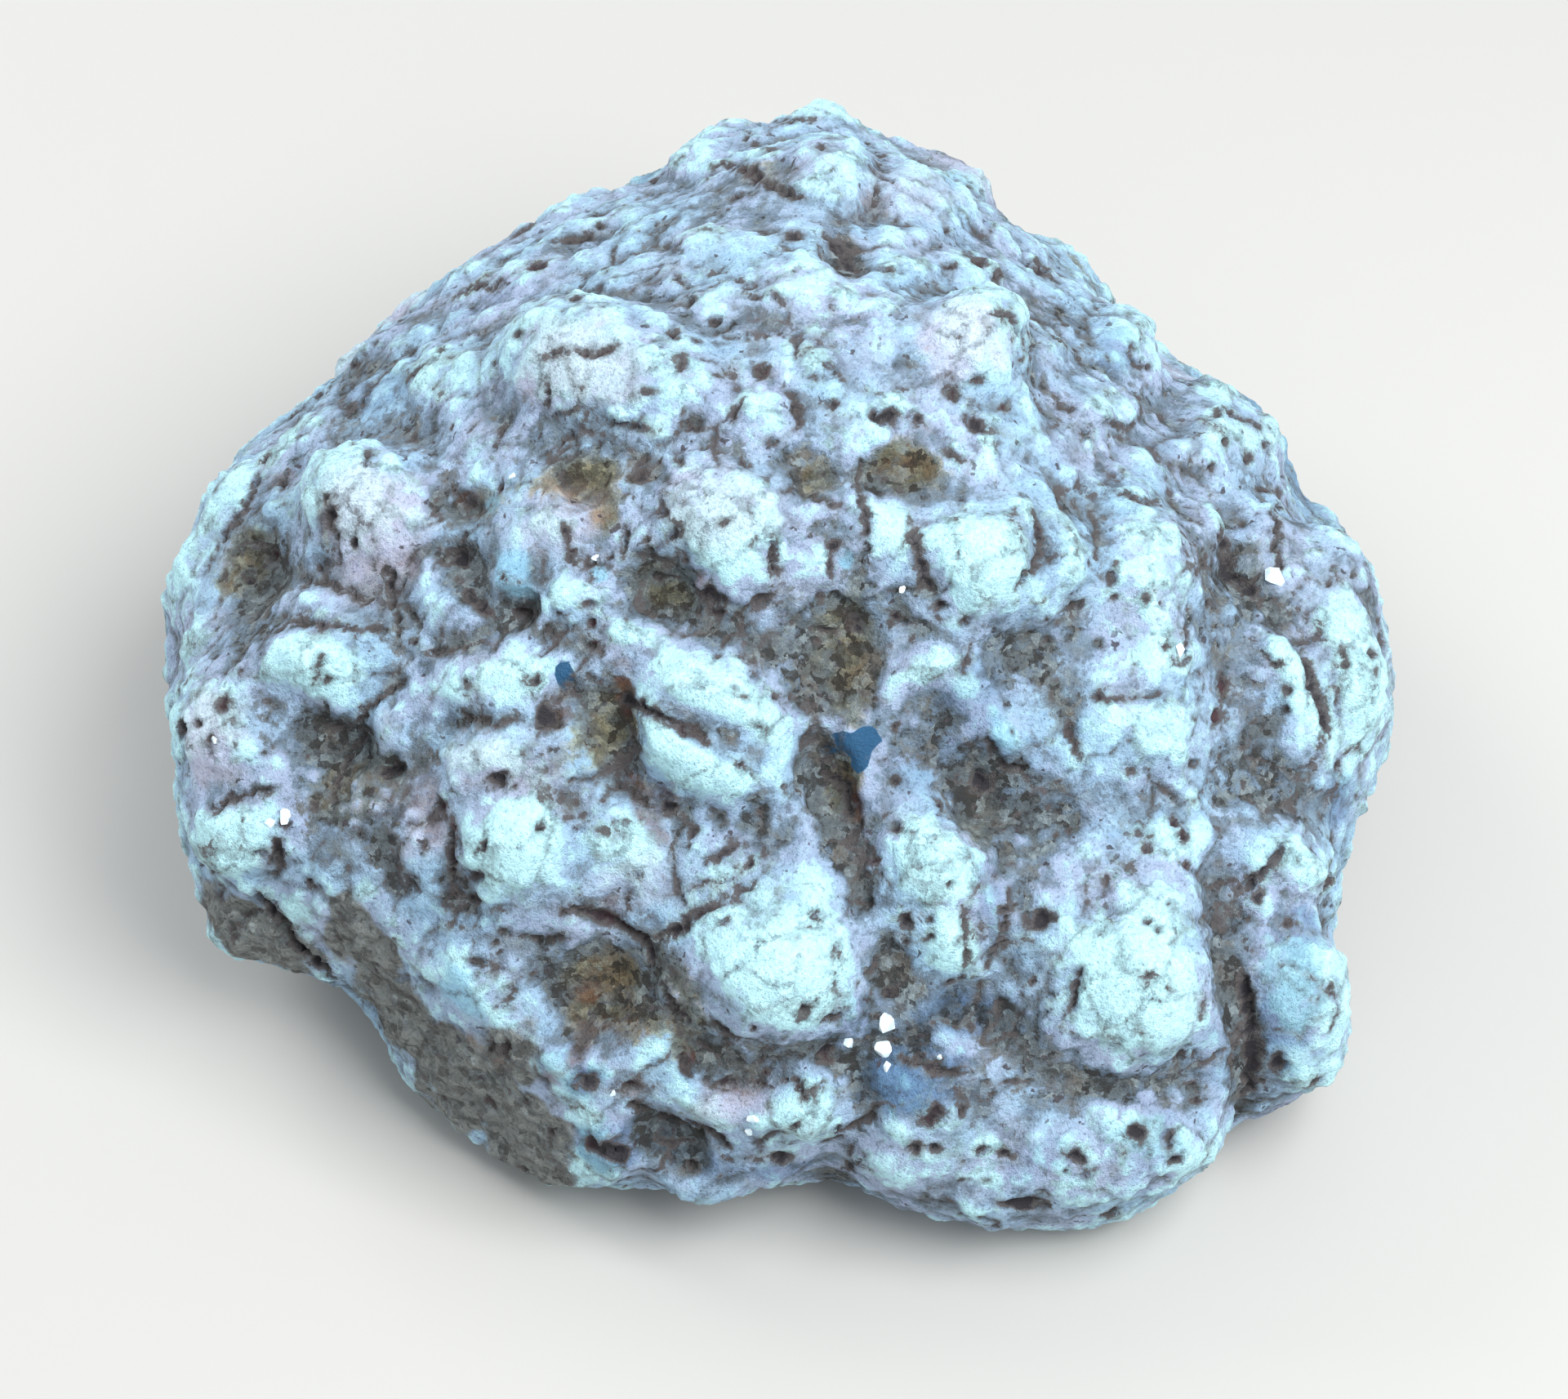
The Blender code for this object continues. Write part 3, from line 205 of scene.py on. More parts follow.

# Cracks, and the dark seams under ledges, whose dark floor is partly painted shadow
CRACKS = [
    # Left and upper left
    Crack(((318, 575), (305, 610), (290, 640), (272, 655)), 0.8, 0.7),
    Crack(((560, 358), (585, 352), (625, 343)), 1.0, 0.8),
    Crack(((705, 430), (730, 435), (760, 420)), 0.8, 0.6),
    Crack(((365, 705), (400, 715), (450, 735), (470, 720)), 1.0, 0.8),
    Crack(((345, 755), (400, 765), (450, 770)), 1.0, 0.8),
    Crack(((395, 800), (388, 822), (383, 842)), 0.7, 0.7),
    Crack(((475, 690), (480, 725), (490, 790)), 1.0, 0.9),
    Crack(((560, 705), (590, 745), (612, 757)), 1.6, 0.9),
    Crack(((520, 800), (560, 793), (592, 785)), 0.9, 0.7),
    Crack(((560, 870), (590, 885), (640, 880)), 0.8, 0.6),
    Crack(((555, 1000), (550, 1040), (560, 1080)), 1.1, 1.0),
    Crack(((596, 1022), (590, 1040), (578, 1052)), 0.9, 0.8),
    Crack(((500, 830), (445, 870), (440, 885), (445, 900), (425, 930), (405, 985)), 0.8, 0.9),
    Crack(((388, 888), (410, 892), (432, 896)), 1.0, 0.9),
    Crack(((255, 997), (265, 990), (285, 975), (345, 965)), 1.0, 0.9),
    # The seam under the left ledge: its dark is partly painted shadow of the ledge
    Crack(((310, 1090), (330, 1112), (350, 1133), (356, 1152), (376, 1172), (400, 1187), (411, 1212)),
          1.5, 1.6),
    Crack(((690, 640), (700, 680), (705, 700)), 0.9, 0.8),
    # Crown
    Crack(((915, 150), (960, 147), (1010, 146)), 0.7, 0.5),
    Crack(((915, 155), (918, 175), (945, 183), (960, 185)), 0.8, 0.7),
    Crack(((870, 200), (905, 205), (945, 225), (985, 245)), 1.3, 0.9),
    Crack(((1083, 180), (1077, 195), (1078, 215), (1074, 240), (1068, 262), (1062, 270)), 0.8, 1.0),
    Crack(((1010, 285), (1030, 310), (1055, 345)), 1.6, 0.9),
    Crack(((1215, 235), (1230, 250), (1245, 272)), 1.2, 0.9),
    Crack(((1330, 378), (1360, 370), (1390, 366)), 0.7, 0.7),
    # Upper slope
    Crack(((820, 330), (838, 345), (852, 357)), 0.8, 0.8),
    Crack(((905, 488), (898, 510), (888, 522)), 0.8, 0.8),
    Crack(((960, 475), (980, 500), (976, 530)), 1.1, 0.8),
    Crack(((1213, 382), (1235, 385), (1245, 400), (1262, 415), (1265, 430), (1262, 448)), 1.0, 1.2),
    Crack(((1350, 515), (1380, 525), (1400, 510)), 1.0, 0.6),
    Crack(((1055, 560), (1052, 600), (1060, 630), (1055, 700)), 0.8, 0.8),
    Crack(((985, 605), (1005, 611), (1035, 620)), 0.8, 0.7),
    # Right
    Crack(((1475, 520), (1495, 500), (1530, 515), (1550, 525)), 0.8, 0.8),
    Crack(((1565, 600), (1563, 650), (1568, 690), (1552, 702)), 0.9, 1.0),
    Crack(((1365, 600), (1400, 615), (1430, 620)), 0.8, 0.6),
    Crack(((1335, 625), (1345, 650), (1340, 690)), 0.8, 0.7),
    Crack(((1345, 857), (1390, 853), (1430, 850)), 0.6, 0.8),
    Crack(((1438, 795), (1440, 808), (1455, 810), (1458, 795)), 0.7, 0.8),
    Crack(((1308, 880), (1312, 905), (1325, 930)), 0.9, 0.9),
    Crack(((1590, 790), (1605, 830), (1620, 870), (1630, 910)), 1.7, 1.0),
    Crack(((1575, 1030), (1565, 1045), (1550, 1065), (1530, 1085), (1510, 1090)), 0.9, 1.1),
    Crack(((1495, 640), (1500, 700), (1530, 722), (1545, 745)), 1.6, 0.9),
    # Middle
    Crack(((745, 690), (720, 694), (716, 672)), 0.7, 0.8),
    Crack(((722, 700), (718, 715)), 0.7, 0.7),
    Crack(((770, 640), (765, 665), (760, 690)), 0.8, 0.9),
    Crack(((790, 662), (800, 680), (814, 692)), 0.9, 0.9),
    Crack(((1118, 640), (1124, 680), (1132, 705), (1150, 738)), 1.0, 0.9),
    Crack(((1263, 618), (1275, 660), (1268, 690), (1240, 725)), 1.1, 0.9),
    Crack(((1187, 790), (1184, 812), (1176, 832)), 0.8, 0.6),
    Crack(((755, 935), (757, 960), (775, 968), (790, 985), (808, 990)), 1.0, 1.0),
    Crack(((760, 850), (785, 868), (812, 880), (850, 898), (872, 910)), 1.2, 0.9),
    Crack(((840, 1000), (848, 1018), (842, 1040)), 0.8, 0.7),
    Crack(((865, 1058), (880, 1048), (905, 1036)), 0.8, 1.0),
    Crack(((898, 1092), (912, 1088), (930, 1083)), 0.8, 0.9),
    Crack(((800, 1148), (830, 1138), (850, 1120), (895, 1097)), 1.4, 1.0),
    Crack(((1005, 940), (1015, 952), (1035, 962), (1040, 1010)), 1.0, 0.9),
    Crack(((1210, 898), (1215, 925), (1235, 945), (1262, 932)), 0.9, 0.9),
    Crack(((640, 1148), (670, 1150), (700, 1146)), 0.8, 0.9),
    # Front
    Crack(((700, 1108), (725, 1120), (750, 1130), (790, 1150), (800, 1190)), 1.5, 1.4),
    Crack(((635, 1212), (615, 1225), (600, 1240)), 0.7, 0.7),
    Crack(((800, 1192), (825, 1235), (855, 1262)), 0.9, 0.8),
    Crack(((868, 1245), (885, 1262), (905, 1275)), 0.9, 0.8),
    Crack(((1000, 1252), (1020, 1246), (1042, 1236)), 1.0, 0.9),
    Crack(((955, 1318), (975, 1322), (985, 1345), (1010, 1325)), 0.8, 0.8),
    Crack(((770, 1352), (800, 1362), (850, 1376), (880, 1395), (898, 1412)), 1.3, 1.5),
    Crack(((1008, 1400), (1035, 1385), (1060, 1370), (1080, 1350)), 1.1, 1.0),
    Crack(((1062, 1190), (1075, 1180), (1082, 1165)), 1.2, 1.1),
    Crack(((1178, 1110), (1184, 1145), (1183, 1190)), 0.9, 0.9),
    Crack(((1240, 1090), (1225, 1150), (1205, 1195)), 0.9, 0.8),
    Crack(((1325, 1180), (1315, 1215), (1305, 1252)), 0.8, 0.8),
    Crack(((1475, 1222), (1474, 1240), (1470, 1252)), 0.7, 0.8),
    Crack(((1625, 1200), (1632, 1215), (1622, 1222)), 0.7, 0.7),
    Crack(((1518, 1185), (1530, 1240), (1534, 1300), (1522, 1360)), 1.6, 1.2),
    Crack(((1028, 1452), (1040, 1432), (1058, 1412)), 1.2, 1.1),
    Crack(((1100, 1300), (1130, 1298), (1160, 1302)), 0.9, 0.9),
]

# Clay and weathered crust, grey-brown, in the recesses and on the broken face
CLAY = spots(
    (725, 590, 9, 6, 0.9), (745, 625, 4, 6, 0.8), (785, 572, 6, 4, 0.6), (815, 722, 9, 8, 1.0, -40),
    (775, 748, 5, 4, 0.7), (895, 745, 11, 4.5, 0.8, 15), (1020, 800, 15, 15), (1045, 850, 8, 10, 0.9),
    (1090, 575, 12, 6, 0.9, 10), (995, 583, 7, 5, 0.8), (1035, 650, 5, 9, 0.6),
    (865, 893, 11, 4, 0.9, -25), (760, 885, 7, 9, 0.8), (735, 840, 9, 5, 0.7, -25),
    (1010, 985, 8, 14, 1.0, 15), (955, 1000, 8, 6, 0.7), (1200, 990, 7, 14), (1250, 1000, 9, 14, 0.7),
    (1060, 1000, 8, 8, 0.5), (1150, 900, 14, 12, 0.45), (1250, 790, 12, 12, 0.7),
    (1040, 1060, 14, 5, 0.7, -45), (740, 1220, 15, 14), (700, 1170, 9, 6, 0.8),
    (835, 1230, 12, 6, 0.8, -50), (870, 1290, 12, 6, 0.7, -45), (1100, 1190, 5, 9, 0.8),
    (310, 700, 9, 13, 0.9, -20), (640, 752, 6, 4, 0.9, 15), (585, 745, 6, 9, 0.7, 30),
    (555, 620, 6, 7, 0.6), (440, 990, 16, 16), (400, 920, 12, 9, 0.9), (1545, 955, 9, 13, 0.6),
    (1520, 705, 5, 9, 0.7), (1520, 1255, 6, 17, 0.7), (1265, 1290, 8, 12, 0.8, 30),
    (1325, 1335, 16, 5, 0.6), (1095, 1300, 14, 10, 0.45), (820, 1395, 18, 6, 0.9, -25),
    (1100, 1470, 14, 5, 0.7, -10), (1255, 1475, 6, 6, 0.8), (1420, 1435, 10, 6, 0.5, 20),
    (1030, 1445, 6, 5, 0.7), (920, 225, 12, 8, 0.5), (1035, 320, 5, 8, 0.8, 30), (1280, 375, 7, 5, 0.6),
    (690, 300, 9, 3, 0.6, 15), (1460, 575, 5, 3, 0.5), (1460, 775, 4, 4, 0.6), (660, 590, 6, 4, 0.5, -30),
    (1300, 855, 8, 7, 0.4), (1180, 1010, 8, 8, 0.5), (500, 700, 6, 9, 0.8), (1490, 1330, 6, 7, 0.5),
    (930, 1440, 12, 4, 0.5), (1220, 1500, 14, 5, 0.4), (450, 460, 24, 6, 0.7, 45), (575, 718, 6, 8, 0.8),
    (500, 1060, 8, 10, 0.6), (1066, 1268, 7, 7, 0.9), (1240, 964, 11, 12, 0.8), (1300, 800, 8, 8, 0.7),
    (1540, 720, 5, 12, 0.8, -15), (1130, 1255, 8, 14, 0.6, 20), (1180, 1330, 9, 9, 0.5),
    (840, 1200, 6, 14, 0.9, 35), (885, 1290, 5, 8, 0.8, 35), (360, 900, 10, 10, 0.5),
    (285, 935, 9, 9, 0.3),
)

# Rust, from orange-brown to garnet
RUST = spots(
    (1040, 985, 1.8, 5.5), (1025, 955, 3, 2, 0.6, -30), (722, 1215, 3.5, 3, 0.8),
    (725, 1258, 4.5, 3.5, 0.8), (780, 1262, 5.5, 4, 0.7), (708, 1285, 2, 4, 0.8), (838, 1302, 2.6, 3.2),
    (890, 1326, 4, 2, 0.7), (672, 880, 3.5, 5, 0.8), (770, 862, 2.4, 2.4), (785, 583, 4, 2.2, 0.8),
    (868, 730, 3.6, 2.6, 0.7), (1048, 762, 3.4, 2.6, 0.7), (400, 632, 3, 4, 0.9), (575, 617, 3.2, 2.4),
    (347, 590, 2.2, 2.6, 0.8), (790, 980, 4.5, 3, 0.9, -30), (820, 990, 3, 2.2, 0.7),
    (840, 1110, 7, 3, 0.45, 30), (1275, 1126, 4.5, 3, 0.6, 20), (775, 1333, 4, 2.6, 0.8),
    (340, 1050, 3, 5, 0.7, -25), (612, 955, 3.4, 2.6, 0.6), (605, 1285, 3.4, 3.6, 0.7),
    (725, 788, 4.4, 3, 0.6, -30), (972, 288, 3, 2.4, 0.7), (930, 455, 3.2, 2.4, 0.6),
    (1090, 575, 6, 3.4, 0.55, 10), (970, 505, 3, 5, 0.5, -20), (1200, 957, 4, 3, 0.5),
    (1120, 1408, 4.6, 2, 0.5), (562, 684, 3, 3, 0.4), (400, 1056, 4, 2.6, 0.4), (1195, 1045, 2.4, 5, 0.4),
    (545, 985, 2.2, 3, 0.6), (272, 862, 2, 3, 0.6),
)

# Ochre clay
OCHRE = spots(
    (1108, 570, 10, 6), (997, 589, 4, 4, 0.9), (1030, 775, 8, 9, 0.9), (1040, 830, 6, 12, 0.8),
    (730, 592, 8, 6, 0.9), (815, 722, 7, 6, 0.8, -40), (740, 628, 4, 6, 0.9), (1030, 965, 3, 8, 0.9),
    (745, 1215, 11, 10, 0.8), (785, 1258, 6, 5, 0.8), (300, 690, 8, 10, 0.8, -20), (600, 616, 5, 4, 0.8),
    (655, 598, 5, 3, 0.8, -30), (440, 965, 9, 8, 0.6), (930, 205, 6, 5, 0.7), (760, 880, 7, 9, 0.8),
    (1190, 1030, 5, 8, 0.5), (835, 1215, 5, 12, 0.7, 35), (1540, 690, 4, 8, 0.5), (1300, 870, 8, 6, 0.4),
    (640, 1150, 6, 3, 0.4),
)

# Slate-blue, darker crust, and painted shadow under the front bosses along the foot
SLATE_AND_SHADOW = spots(
    (740, 1408, 7, 7, 0.9), (715, 1325, 5, 5, 0.8), (690, 1300, 7, 5, 0.5), (1180, 1240, 9, 6, 0.8, -20),
    (1120, 1320, 12, 9, 0.9), (1190, 870, 9, 12, 0.45), (1120, 950, 8, 6, 0.4),
    (1215, 1110, 4, 12, 0.5, 10), (1570, 1250, 8, 9, 0.6), (1635, 985, 6, 8, 0.6), (1370, 430, 5, 6, 0.5),
    (1500, 1290, 8, 10, 0.4), (850, 1415, 14, 4, 0.6, -20), (1665, 1005, 3, 5, 0.7),
    (960, 1435, 9, 3, 0.6), (560, 1130, 10, 5, 0.4, -30), (330, 400, 8, 8, 0.3), (1050, 1260, 9, 9, 0.5),
    (1280, 1420, 12, 6, 0.4), (790, 440, 12, 16, 0.3), (1200, 930, 14, 12, 0.4), (1590, 1220, 9, 10, 0.6),
    (1410, 1400, 10, 8, 0.5), (460, 480, 12, 6, 0.4, 30), (600, 370, 12, 4, 0.4, 25),
    (1420, 560, 9, 8, 0.3),
)

# Chalky crust, the whitest places; on the best-lit bosses and edges partly a painted highlight
CHALK_AND_HIGHLIGHT = spots(
    (958, 1185, 17, 15), (1390, 1205, 13, 17, 0.9), (640, 1025, 13, 12, 0.9), (865, 850, 17, 7, 0.9, -24),
    (850, 930, 12, 8, 0.9, -24), (1195, 690, 11, 10, 0.5), (770, 1025, 9, 9, 0.7),
    (605, 828, 15, 6, 0.7, 12), (1140, 1060, 11, 8, 0.8, 25), (1438, 1030, 9, 5, 0.8, -8),
    (380, 820, 12, 8, 0.7), (1160, 1160, 5, 8, 0.7), (985, 1355, 8, 6, 0.6), (720, 1368, 6, 4, 1.0, -30),
    (715, 1430, 4, 4, 0.9), (1095, 770, 5, 3, 0.9), (1130, 815, 6, 4, 0.9, 25), (1003, 125, 6, 2.4, 0.7),
    (885, 660, 10, 6, 0.5), (285, 1040, 7, 6, 0.8), (330, 1000, 4, 3, 0.9), (1210, 1400, 3, 2.4),
    (1200, 1440, 4, 3, 0.8), (1240, 1508, 5, 2.4, 0.9), (1300, 1512, 6, 2.4, 0.8), (1480, 475, 5, 3, 0.7),
    (1405, 690, 9, 11, 0.35), (1630, 800, 6, 14, 0.7, 12), (1418, 795, 10, 5, 0.7, 8),
    (1085, 1120, 3, 4, 0.9), (1010, 1080, 6, 3.4, 0.8, -38), (900, 1070, 8, 3.4, 0.8, 28),
    (285, 860, 7, 7, 0.6), (1585, 1190, 7, 7, 0.3), (1240, 905, 4, 4, 0.6), (700, 440, 12, 9, 0.5),
    (460, 610, 8, 8, 0.5), (800, 775, 7, 3.4, 0.7, 10), (600, 925, 9, 3.6, 0.6, 4),
    (240, 795, 3, 6, 0.6, -25), (1400, 1390, 8, 4, 0.5), (1170, 405, 6, 5, 0.6), (1080, 650, 6, 9, 0.7),
    (560, 465, 8, 5, 0.4), (1520, 540, 5, 5, 0.5), (450, 1090, 3, 3, 0.8), (370, 1118, 3, 2.4, 0.8),
    (340, 1093, 3, 2.6, 0.8), (290, 602, 21, 6.5, 1.0, 54), (392, 512, 6, 4, 0.8, 35),
    (485, 412, 8, 3, 0.6, 40), (1640, 830, 9, 22, 1.0, 12), (1370, 760, 8, 6, 0.6),
    (1600, 700, 7, 8, 0.6), (1470, 590, 8, 8, 0.5), (1000, 700, 5, 7, 0.5),
)

# Saturated blue mineral specks
BLUE = spots(
    (1057, 908, 3.9, 3.4, 1.0, 30), (1052, 928, 2.2, 3.6), (690, 828, 2.4, 3.0, 0.9),
    (1452, 798, 0.9, 0.9, 0.8),
)

# Pale sky-blue places
SKY_BLUE = spots(
    (1035, 684, 2.2, 2.0), (565, 1218, 6.0, 8.5, 0.8, 20), (1232, 905, 4.0, 4.0, 0.7),
    (622, 708, 5.0, 7.0, 0.8, 20), (604, 616, 3.4, 3.0, 0.7), (734, 704, 1.8, 2.4, 0.9),
)

# Rosy and violet bosses
ROSE = spots(
    (450, 640, 14, 16, 0.8), (690, 635, 10, 10, 0.6), (870, 615, 13, 11, 0.6), (1180, 410, 10, 9),
    (700, 440, 16, 12, 0.7), (750, 470, 8, 6, 0.7), (250, 900, 7, 12, 0.8), (590, 925, 12, 5, 0.6),
    (780, 1080, 12, 8, 0.5, 30), (900, 1350, 10, 5, 0.7), (520, 1010, 5, 12, 0.6),
    (1120, 230, 12, 9, 0.5),
)

# Clear quartz grains that catch the light, of the size that they show
SPARKLES = spots(
    (1088, 1253, 2.7, 3.0), (1040, 1276, 1.5, 1.5), (1081, 1285, 2.3, 2.6, 1.0, 20),
    (1086, 1306, 1.0, 1.4), (917, 1385, 1.2, 1.2), (923, 1370, 2.0, 0.9), (751, 1339, 0.9, 0.9),
    (331, 1008, 1.6, 1.2), (349, 1000, 1.4, 2.4), (1561, 706, 2.4, 2.8, 1.0, 30), (1444, 796, 1.3, 1.9),
    (1105, 722, 0.9, 1.1), (729, 682, 1.0, 0.9), (627, 583, 0.9, 0.8), (1150, 1294, 0.7, 0.7),
    (262, 906, 0.9, 1.0),
)

# The bare, streaked broken face and the ledge beside it; the face turns from the light and the ledge's foot
# lies in its shadow, so their darkness is partly painted shade
SHADED_BARE_FACE = spots(
    (440, 1160, 9, 12, 1.0, 45), (490, 1240, 10, 16, 1.0, 30), (570, 1330, 13, 12, 1.0, 30),
    (640, 1400, 12, 12, 1.0, 30), (310, 1140, 17, 8, 1.0, -15), (470, 1300, 6, 6, 0.8),
    (420, 1120, 6, 5, 0.8), (545, 1290, 9, 7, 1.0, 30), (670, 1440, 9, 4), (330, 1180, 12, 6, 1.0, -20),
    (400, 1205, 7, 6), (445, 1240, 7, 7), (475, 1300, 6, 9), (520, 1350, 9, 7, 1.0, -40),
    (575, 1395, 11, 6, 1.0, -30), (240, 1120, 5, 10),
)

# The washes of the crust's colour, some of them partly painted shade or a painted highlight: where each lies
# on the side that shows, and a seed for its ragged rim
WASHES = {
    "clay": (CLAY, 11),
    "rust": (RUST, 12),
    "slate_and_shadow": (SLATE_AND_SHADOW, 13),
    "chalk_and_highlight": (CHALK_AND_HIGHLIGHT, 14),
    "shaded_bare_face": (SHADED_BARE_FACE, 15),
    "sky": (SKY_BLUE, 16),
    "rose": (ROSE, 18),
    "ochre": (OCHRE, 19),
}

# How a wash fades, with 1 at its spot's rim: where it ends, the width of the fading band, how ragged the rim
# is and the wavelength of that in mm
WASH_END = 1.4
WASH_FADE = 0.8
WASH_RAGGED = 0.3
WASH_WAVE = 3.0

# On the hidden side some washes have cloudy patches too: wavelength in mm and how rare they are, from -1 to
# 1. They start at a distance behind the aim point and fade in over another, in mm
CLOUDS = {
    "clay": (16.0, 0.1),
    "chalk_and_highlight": (13.0, 0.1),
    "rust": (8.0, 0.8),
    "slate_and_shadow": (18.0, 0.2),
    "rose": (24.0, 0.2),
    "ochre": (9.0, 0.4),
}
CLOUD_STEEPNESS = 2.0
HIDDEN_START = 8.0
HIDDEN_FADE = 40.0

# Seeded features of the same kinds all round, and from how much to how much of its greater width a lump's or
# a pit's lesser one is
BUDS = Growth(1700, 2.2, 5.6, 0.09, 0.15, 5)
GRAINS = Growth(12000, 1.1, 2.6, 0.09, 0.17, 17)
SMALL_PITS = Growth(480, 0.6, 1.4, 0.3, 0.7, 29, 0.9)
SHORT_CRACKS = Growth(120, 2.5, 8.0, 0.3, 0.7, 31, 0.95)
LUMP_STRETCH = (0.65, 1.0)
PIT_STRETCH = (0.4, 1.0)

# How full a lump's dome is: 1 is a parabola, and less is fuller
LUMP_FULLNESS = 0.9

# The rough skin between them, and that of the bare face: wavelength and height in mm of each layer
ROUGHNESS = [(9.0, 0.3), (3.2, 0.14), (1.3, 0.06)]
FACE_ROUGHNESS = [(3.6, 0.4), (1.9, 0.28), (1.2, 0.18)]
ROUGHNESS_SEED = 40

# The blocks that the crust is broken into: size of a block, height of its dome and width of the groove's
# shoulder in mm, from the large to the small, and how far and at what wavelength the grooves sway
BLOCKS = [(7.0, 0.42, 2.2), (3.0, 0.2, 0.9)]
BLOCK_SWAY = 2.2
BLOCK_SWAY_WAVE = 6.0
BLOCK_SEED = 7

# Dark seams in some of the large grooves: greatest half width and depth in mm, how steep the wall is, how
# readily a groove opens, how much narrower it is stained than cut, and the wavelength of the cloudy pattern
# that says which are open
SEAM_HALF = 0.3
SEAM_DEPTH = 0.4
SEAM_STEEPNESS = 2.0
SEAM_SHARE = 0.1
SEAM_FAINT = 0.1
SEAM_WAVE = 11.0
SEAM_SEED = 61

# How far around a pit, a blue speck or a crack it still counts for the colours, in mm
MARK_EDGE = 1.2

# How ragged the rim of a pit or a blue speck is, the wavelength of that, which is a share of the half size
# and a length in mm together, and how steep a pit's wall is
PIT_RAGGED = 0.55
PIT_SEED = 3
BLUE_RAGGED = 0.3
BLUE_SEED = 7
RIM_WAVE_SHARE = 0.9
RIM_WAVE_LEAST = 0.5
PIT_STEEPNESS = 1.8

# How far a crack of the table sways from its path, in pixels, how quickly from step to step, and the layer
# of the noise that its sway down the photograph is read from
CRACK_BEND = 9.0
BEND_PACE = 0.3
BEND_LAYER = 9.0

# The steps of a crack in mm, the widths of the seeded ones in mm and how much they wander at each step
CRACK_STEP = 0.35
CRACK_WIDTH = (0.35, 0.7)
CRACK_WANDER = 0.32

# A crack's tip as a share of its width, how quickly it widens from there, how much its width swells and how
# steep its wall is
CRACK_TIP = 0.35
CRACK_WIDENING = 0.4
CRACK_SWELL = 0.5
CRACK_STEEPNESS = 1.4

# How far each relief looks, in rounds of evening out, and the height above the surroundings that counts full
RELIEFS = {"small_relief": (12, 0.22), "large_relief": (180, 1.1)}

# The large relief below which a point begins to lie in a recess, and how much the proud places still count
RECESS_LEVEL = 0.45
RECESS_LEAST = 0.02

# How much of the buds and blocks is missing on the chalky bosses and on the bare face, as shares, and how
# much stronger than for its colour the chalk counts for that
CHALK_CALM = 0.85
FACE_CALM = 0.7
CHALK_REACH = 1.6

# The grown skin is set back by what its lumps add on the whole, and fades in above the flat foot, in mm
CRUST_SINK = 0.7
FOOT_TOP = 0.4
FOOT_FADE = 4.0

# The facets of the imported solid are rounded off: points closer than this in mm are one, then it is divided,
# made of even cells and evened out this many rounds
WELD_GAP = 0.01
ROUNDING_LEVELS = 2
EVENING_ROUNDS = 4

# Each seed looks at another place of the noise, and its values are brought to about -1 to 1
NOISE_SHIFT = (17.3, 5.1, 9.7)
NOISE_GAIN = 1.6

# The clear quartz grains: corners of each, and their height as a share of their lesser half width
SPARKLE_CORNERS = 14
SPARKLE_PROUD = 0.6
SPARKLE_SEED = 47

# What each of a point's values counts for on the scale from the clay and painted shade in the recesses to the
# white crests; the relief lays the painted shade, and the chalk wash is partly a painted highlight
LEVEL_WEIGHTS = {"small_relief": 0.22, "large_relief": 0.6, "clay": -0.75, "chalk_and_highlight": 0.7}

# The colour sockets of Blender's Mix node
MIX_FIRST = 6
MIX_SECOND = 7
MIX_RESULT = 2


def colour(red, green, blue):
    return (red, green, blue, 1.0)


# The colours of the crust, its recesses, its stains and the bare face, and the blue of the painted shade in
# the recesses
PALE_BLUE = colour(0.33, 0.66, 0.86)
CREST = colour(0.58, 0.94, 0.99)
ROSY = colour(0.62, 0.58, 0.70)
TAUPE = colour(0.15, 0.138, 0.12)
CRACK_BROWN = colour(0.095, 0.08, 0.078)
SKY = colour(0.35, 0.55, 0.72)
LAVENDER = colour(0.41, 0.49, 0.66)
PAINTED_SHADE_BLUE = colour(0.18, 0.25, 0.32)
GRAIN_SHADE = colour(0.66, 0.66, 0.72)
GRIT_SHADE = colour(0.56, 0.59, 0.62)
CLAY_GREY = colour(0.115, 0.14, 0.15)
CLAY_OLIVE = colour(0.036, 0.036, 0.034)
CLAY_PALE = colour(0.26, 0.31, 0.32)
SLATE_SHADE = colour(0.36, 0.46, 0.58)
OCHRE_SHADE = colour(1.0, 0.77, 0.46)
RUST_BROWN = colour(0.20, 0.085, 0.035)
GARNET = colour(0.085, 0.025, 0.025)
SPECK = colour(0.06, 0.05, 0.06)
BLUE_MINERAL = colour(0.018, 0.095, 0.20)
PIT_BLACK = colour(0.03, 0.027, 0.033)
PIT_RED = colour(0.07, 0.03, 0.036)
# The broken face's tones are darkened partly as painted shade, for a face turned from the light
FACE_DARK = colour(0.085, 0.087, 0.08)
FACE_PALE = colour(0.25, 0.265, 0.25)
FACE_LIGHT = colour(0.40, 0.45, 0.46)
QUARTZ_WHITE = colour(0.93, 0.96, 0.96)
QUARTZ_BLUE = colour(0.66, 0.84, 0.93)

# The streaks of the bare face are drawn out and turned to run down it
FACE_STRETCH = (0.35, 1.0, 1.0)
FACE_TURN = (0.0, math.radians(50.0), math.radians(-20.0))

# The studio: the floor's size in mm and finish, each light's name, place and size in mm, power in watts and
# colour, the surround, and how near the camera still sees, in metres
FLOOR_SIZE = 7000.0
FLOOR_TONE = colour(0.52, 0.50, 0.47)
FLOOR_ROUGHNESS = 0.9
LIGHTS = [
    ("key", (300.0, -230.0, 600.0), 460.0, 6.1, (0.95, 0.98, 1.0)),
    ("back", (-450.0, 330.0, 420.0), 400.0, 2.4, (0.97, 0.99, 1.0)),
]
SURROUND_TONE = colour(0.86, 0.93, 1.0)
SURROUND_STRENGTH = 0.72
NEAR_CLIP = 0.01


